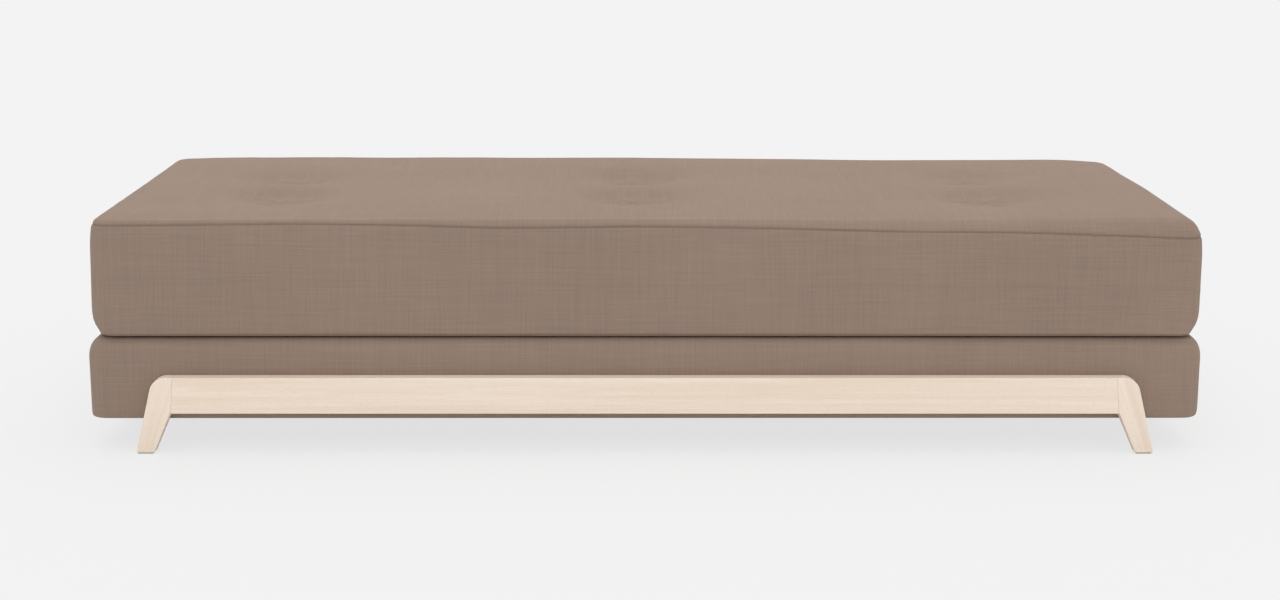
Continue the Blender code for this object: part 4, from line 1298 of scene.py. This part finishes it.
def board_mesh(name, shape, joints, front, back, grain, shift):
    """A board of this outline between two depths. joints are the outline edges left sharp."""
    bm = bmesh.new()
    faces = [[bm.verts.new((x, y, z)) for x, z in shape] for y in (front, back)]
    count = len(shape)
    bm.faces.new(faces[0])
    bm.faces.new(faces[1][::-1])
    eased = []
    for k in range(count):
        n = (k + 1) % count
        bm.faces.new((faces[0][k], faces[0][n], faces[1][n], faces[1][k]))
        if k not in joints:
            eased += [bm.edges.get((side[k], side[n])) for side in faces]
    bmesh.ops.recalc_face_normals(bm, faces=bm.faces)
    highlight_layer = bm.verts.layers.float.new(EDGE_HIGHLIGHT)
    bmesh.ops.bevel(
        bm, geom=eased, offset=EASED_EDGE, segments=EASED_STEPS, profile=0.5, affect="EDGES"
    )
    # painted highlight: 1 on the points of the eased edges, 0 on the board's flats
    for vert in bm.verts:
        largest = max(face.calc_area() for face in vert.link_faces)
        vert[highlight_layer] = 0.0 if largest > FLAT_AREA else 1.0
    for edge in bm.edges:
        edge.smooth = edge.calc_face_angle() < SHARP_ANGLE
    uv = bm.loops.layers.uv.new(GRAIN_MAP)
    along = Vector((grain[0], 0, grain[1])).normalized()
    across = Vector((-along.z, 1, along.x))
    for face in bm.faces:
        for loop in face.loops:
            co = loop.vert.co
            loop[uv].uv = (co.dot(along) + shift, co.dot(across) + GRAIN_DRIFT * shift)
    mesh = bpy.data.meshes.new(name)
    bm.to_mesh(mesh)
    bm.free()
    mesh.shade_smooth()
    return mesh


def add_board(node, mesh):
    """Put a board in place of a CAD node, with normals that keep its flats flat."""
    board = add_piece(mesh.name, mesh, washed_beech)
    even = board.modifiers.new("flats", "WEIGHTED_NORMAL")
    even.keep_sharp = True
    keep_modified(board, even)
    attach(board, "base")
    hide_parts(node)


print("edges eased by", 1000 * EASED_EDGE, "mm")

# %% [markdown]
# The frames' measures are those of the CAD. Leg and rail are separate boards with a fine joint line
# between them, and each board's grain comes from another place in the wood.

# %% Rails and legs
RAIL_BOTTOM, RAIL_TOP = 0.0750, 0.1415
LEG_OUTSIDE_FLOOR, LEG_OUTSIDE_TOP = 0.9176, 0.8822
LEG_INSIDE_FLOOR, LEG_INSIDE_RAIL = 0.8855, 0.8516
JOINT_TOP = 0.8460
JOINT_GAP = 0.0003
SHOULDER_RADIUS, SHOULDER_STEPS = 0.030, 18
FOOT = 0.003  # the glide's thickness
NEXT_LEG, NEXT_RAIL = 0.83, 1.91  # no two boards are cut from the same place in the grain

slope_out = (LEG_OUTSIDE_TOP - LEG_OUTSIDE_FLOOR) / RAIL_TOP
slope_in = (LEG_INSIDE_RAIL - LEG_INSIDE_FLOOR) / RAIL_BOTTOM
foot_in = (LEG_INSIDE_FLOOR + slope_in * FOOT, FOOT)
foot_out = (LEG_OUTSIDE_FLOOR + slope_out * FOOT, FOOT)
joint_low = (LEG_INSIDE_RAIL + JOINT_GAP / 2, RAIL_BOTTOM)
joint_high = (JOINT_TOP + JOINT_GAP / 2, RAIL_TOP)
leg_top = (LEG_OUTSIDE_TOP, RAIL_TOP)
shoulder = rounded_corner(foot_out, leg_top, joint_high, SHOULDER_RADIUS, SHOULDER_STEPS)
leg_shape = [foot_in, foot_out, *shoulder, joint_high, joint_low]
leg_joint = len(leg_shape) - 2
leg_lean = (slope_out + slope_in) / 2
rail_end = [(x - JOINT_GAP, z) for x, z in (joint_low, joint_high)]
rail_shape = rail_end + [(-x, z) for x, z in rail_end[::-1]]
shift = 0.0
for side in ("front", "back"):
    near, far = (corner.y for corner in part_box(side + "_rail"))
    mesh = board_mesh(side + "_rail_board", rail_shape, {0, 2}, near, far, (1, 0), shift)
    add_board(side + "_rail", mesh)
    for end, sign in (("left", -1), ("right", 1)):
        shift += NEXT_LEG
        node = f"{side}_{end}_leg"
        shape = [(sign * x, z) for x, z in leg_shape]
        grain = (sign * leg_lean, 1.0)
        add_board(node, board_mesh(node + "_board", shape, {leg_joint}, near, far, grain, shift))
    shift += NEXT_RAIL
print("two rails and four legs, outline of", len(leg_shape), "points")

# %% [markdown]
# ## Finishes for the pieces that stay
# The frame inside the base, the slats, the foam blocks, the ties, bolts, tenons and glides have their
# right shape in the CAD. They keep it, and each gets its material here, with the grain along the piece.

# %% Finishes for the pieces that stay
FINISHES = {
    # part of a node's name: its finish
    "tenon": tenon_beech,
    "glide": wool_felt,
    "bolt": zinc_steel,
    "slat_ledger": pine_long,
    "slat": slat_beech,
    "beam": pine_long,
    "end_board": pine_cross,
    "cross_bearer": pine_cross,
    "corner_block": pine_upright,
    "tuft_tie": waxed_twine,
    "base_foam": firm_foam,
    "mattress_core": firm_foam,
    "lower_foam": soft_foam,
    "upper_foam": soft_foam,
}
dressed = 0
for name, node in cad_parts.items():
    if node.hide_render:
        continue
    finish = next(material for word, material in FINISHES.items() if word in name)
    node.data.materials.clear()
    node.data.materials.append(finish)
    dressed += 1
print(dressed, "CAD nodes keep their shape and get a finish")

# %% [markdown]
# ## Finish
# The render uses the Standard view transform. The dressed object must stay the size of the CAD model.

# %% Finish
scene.view_settings.view_transform = "Standard"
bpy.context.view_layer.update()
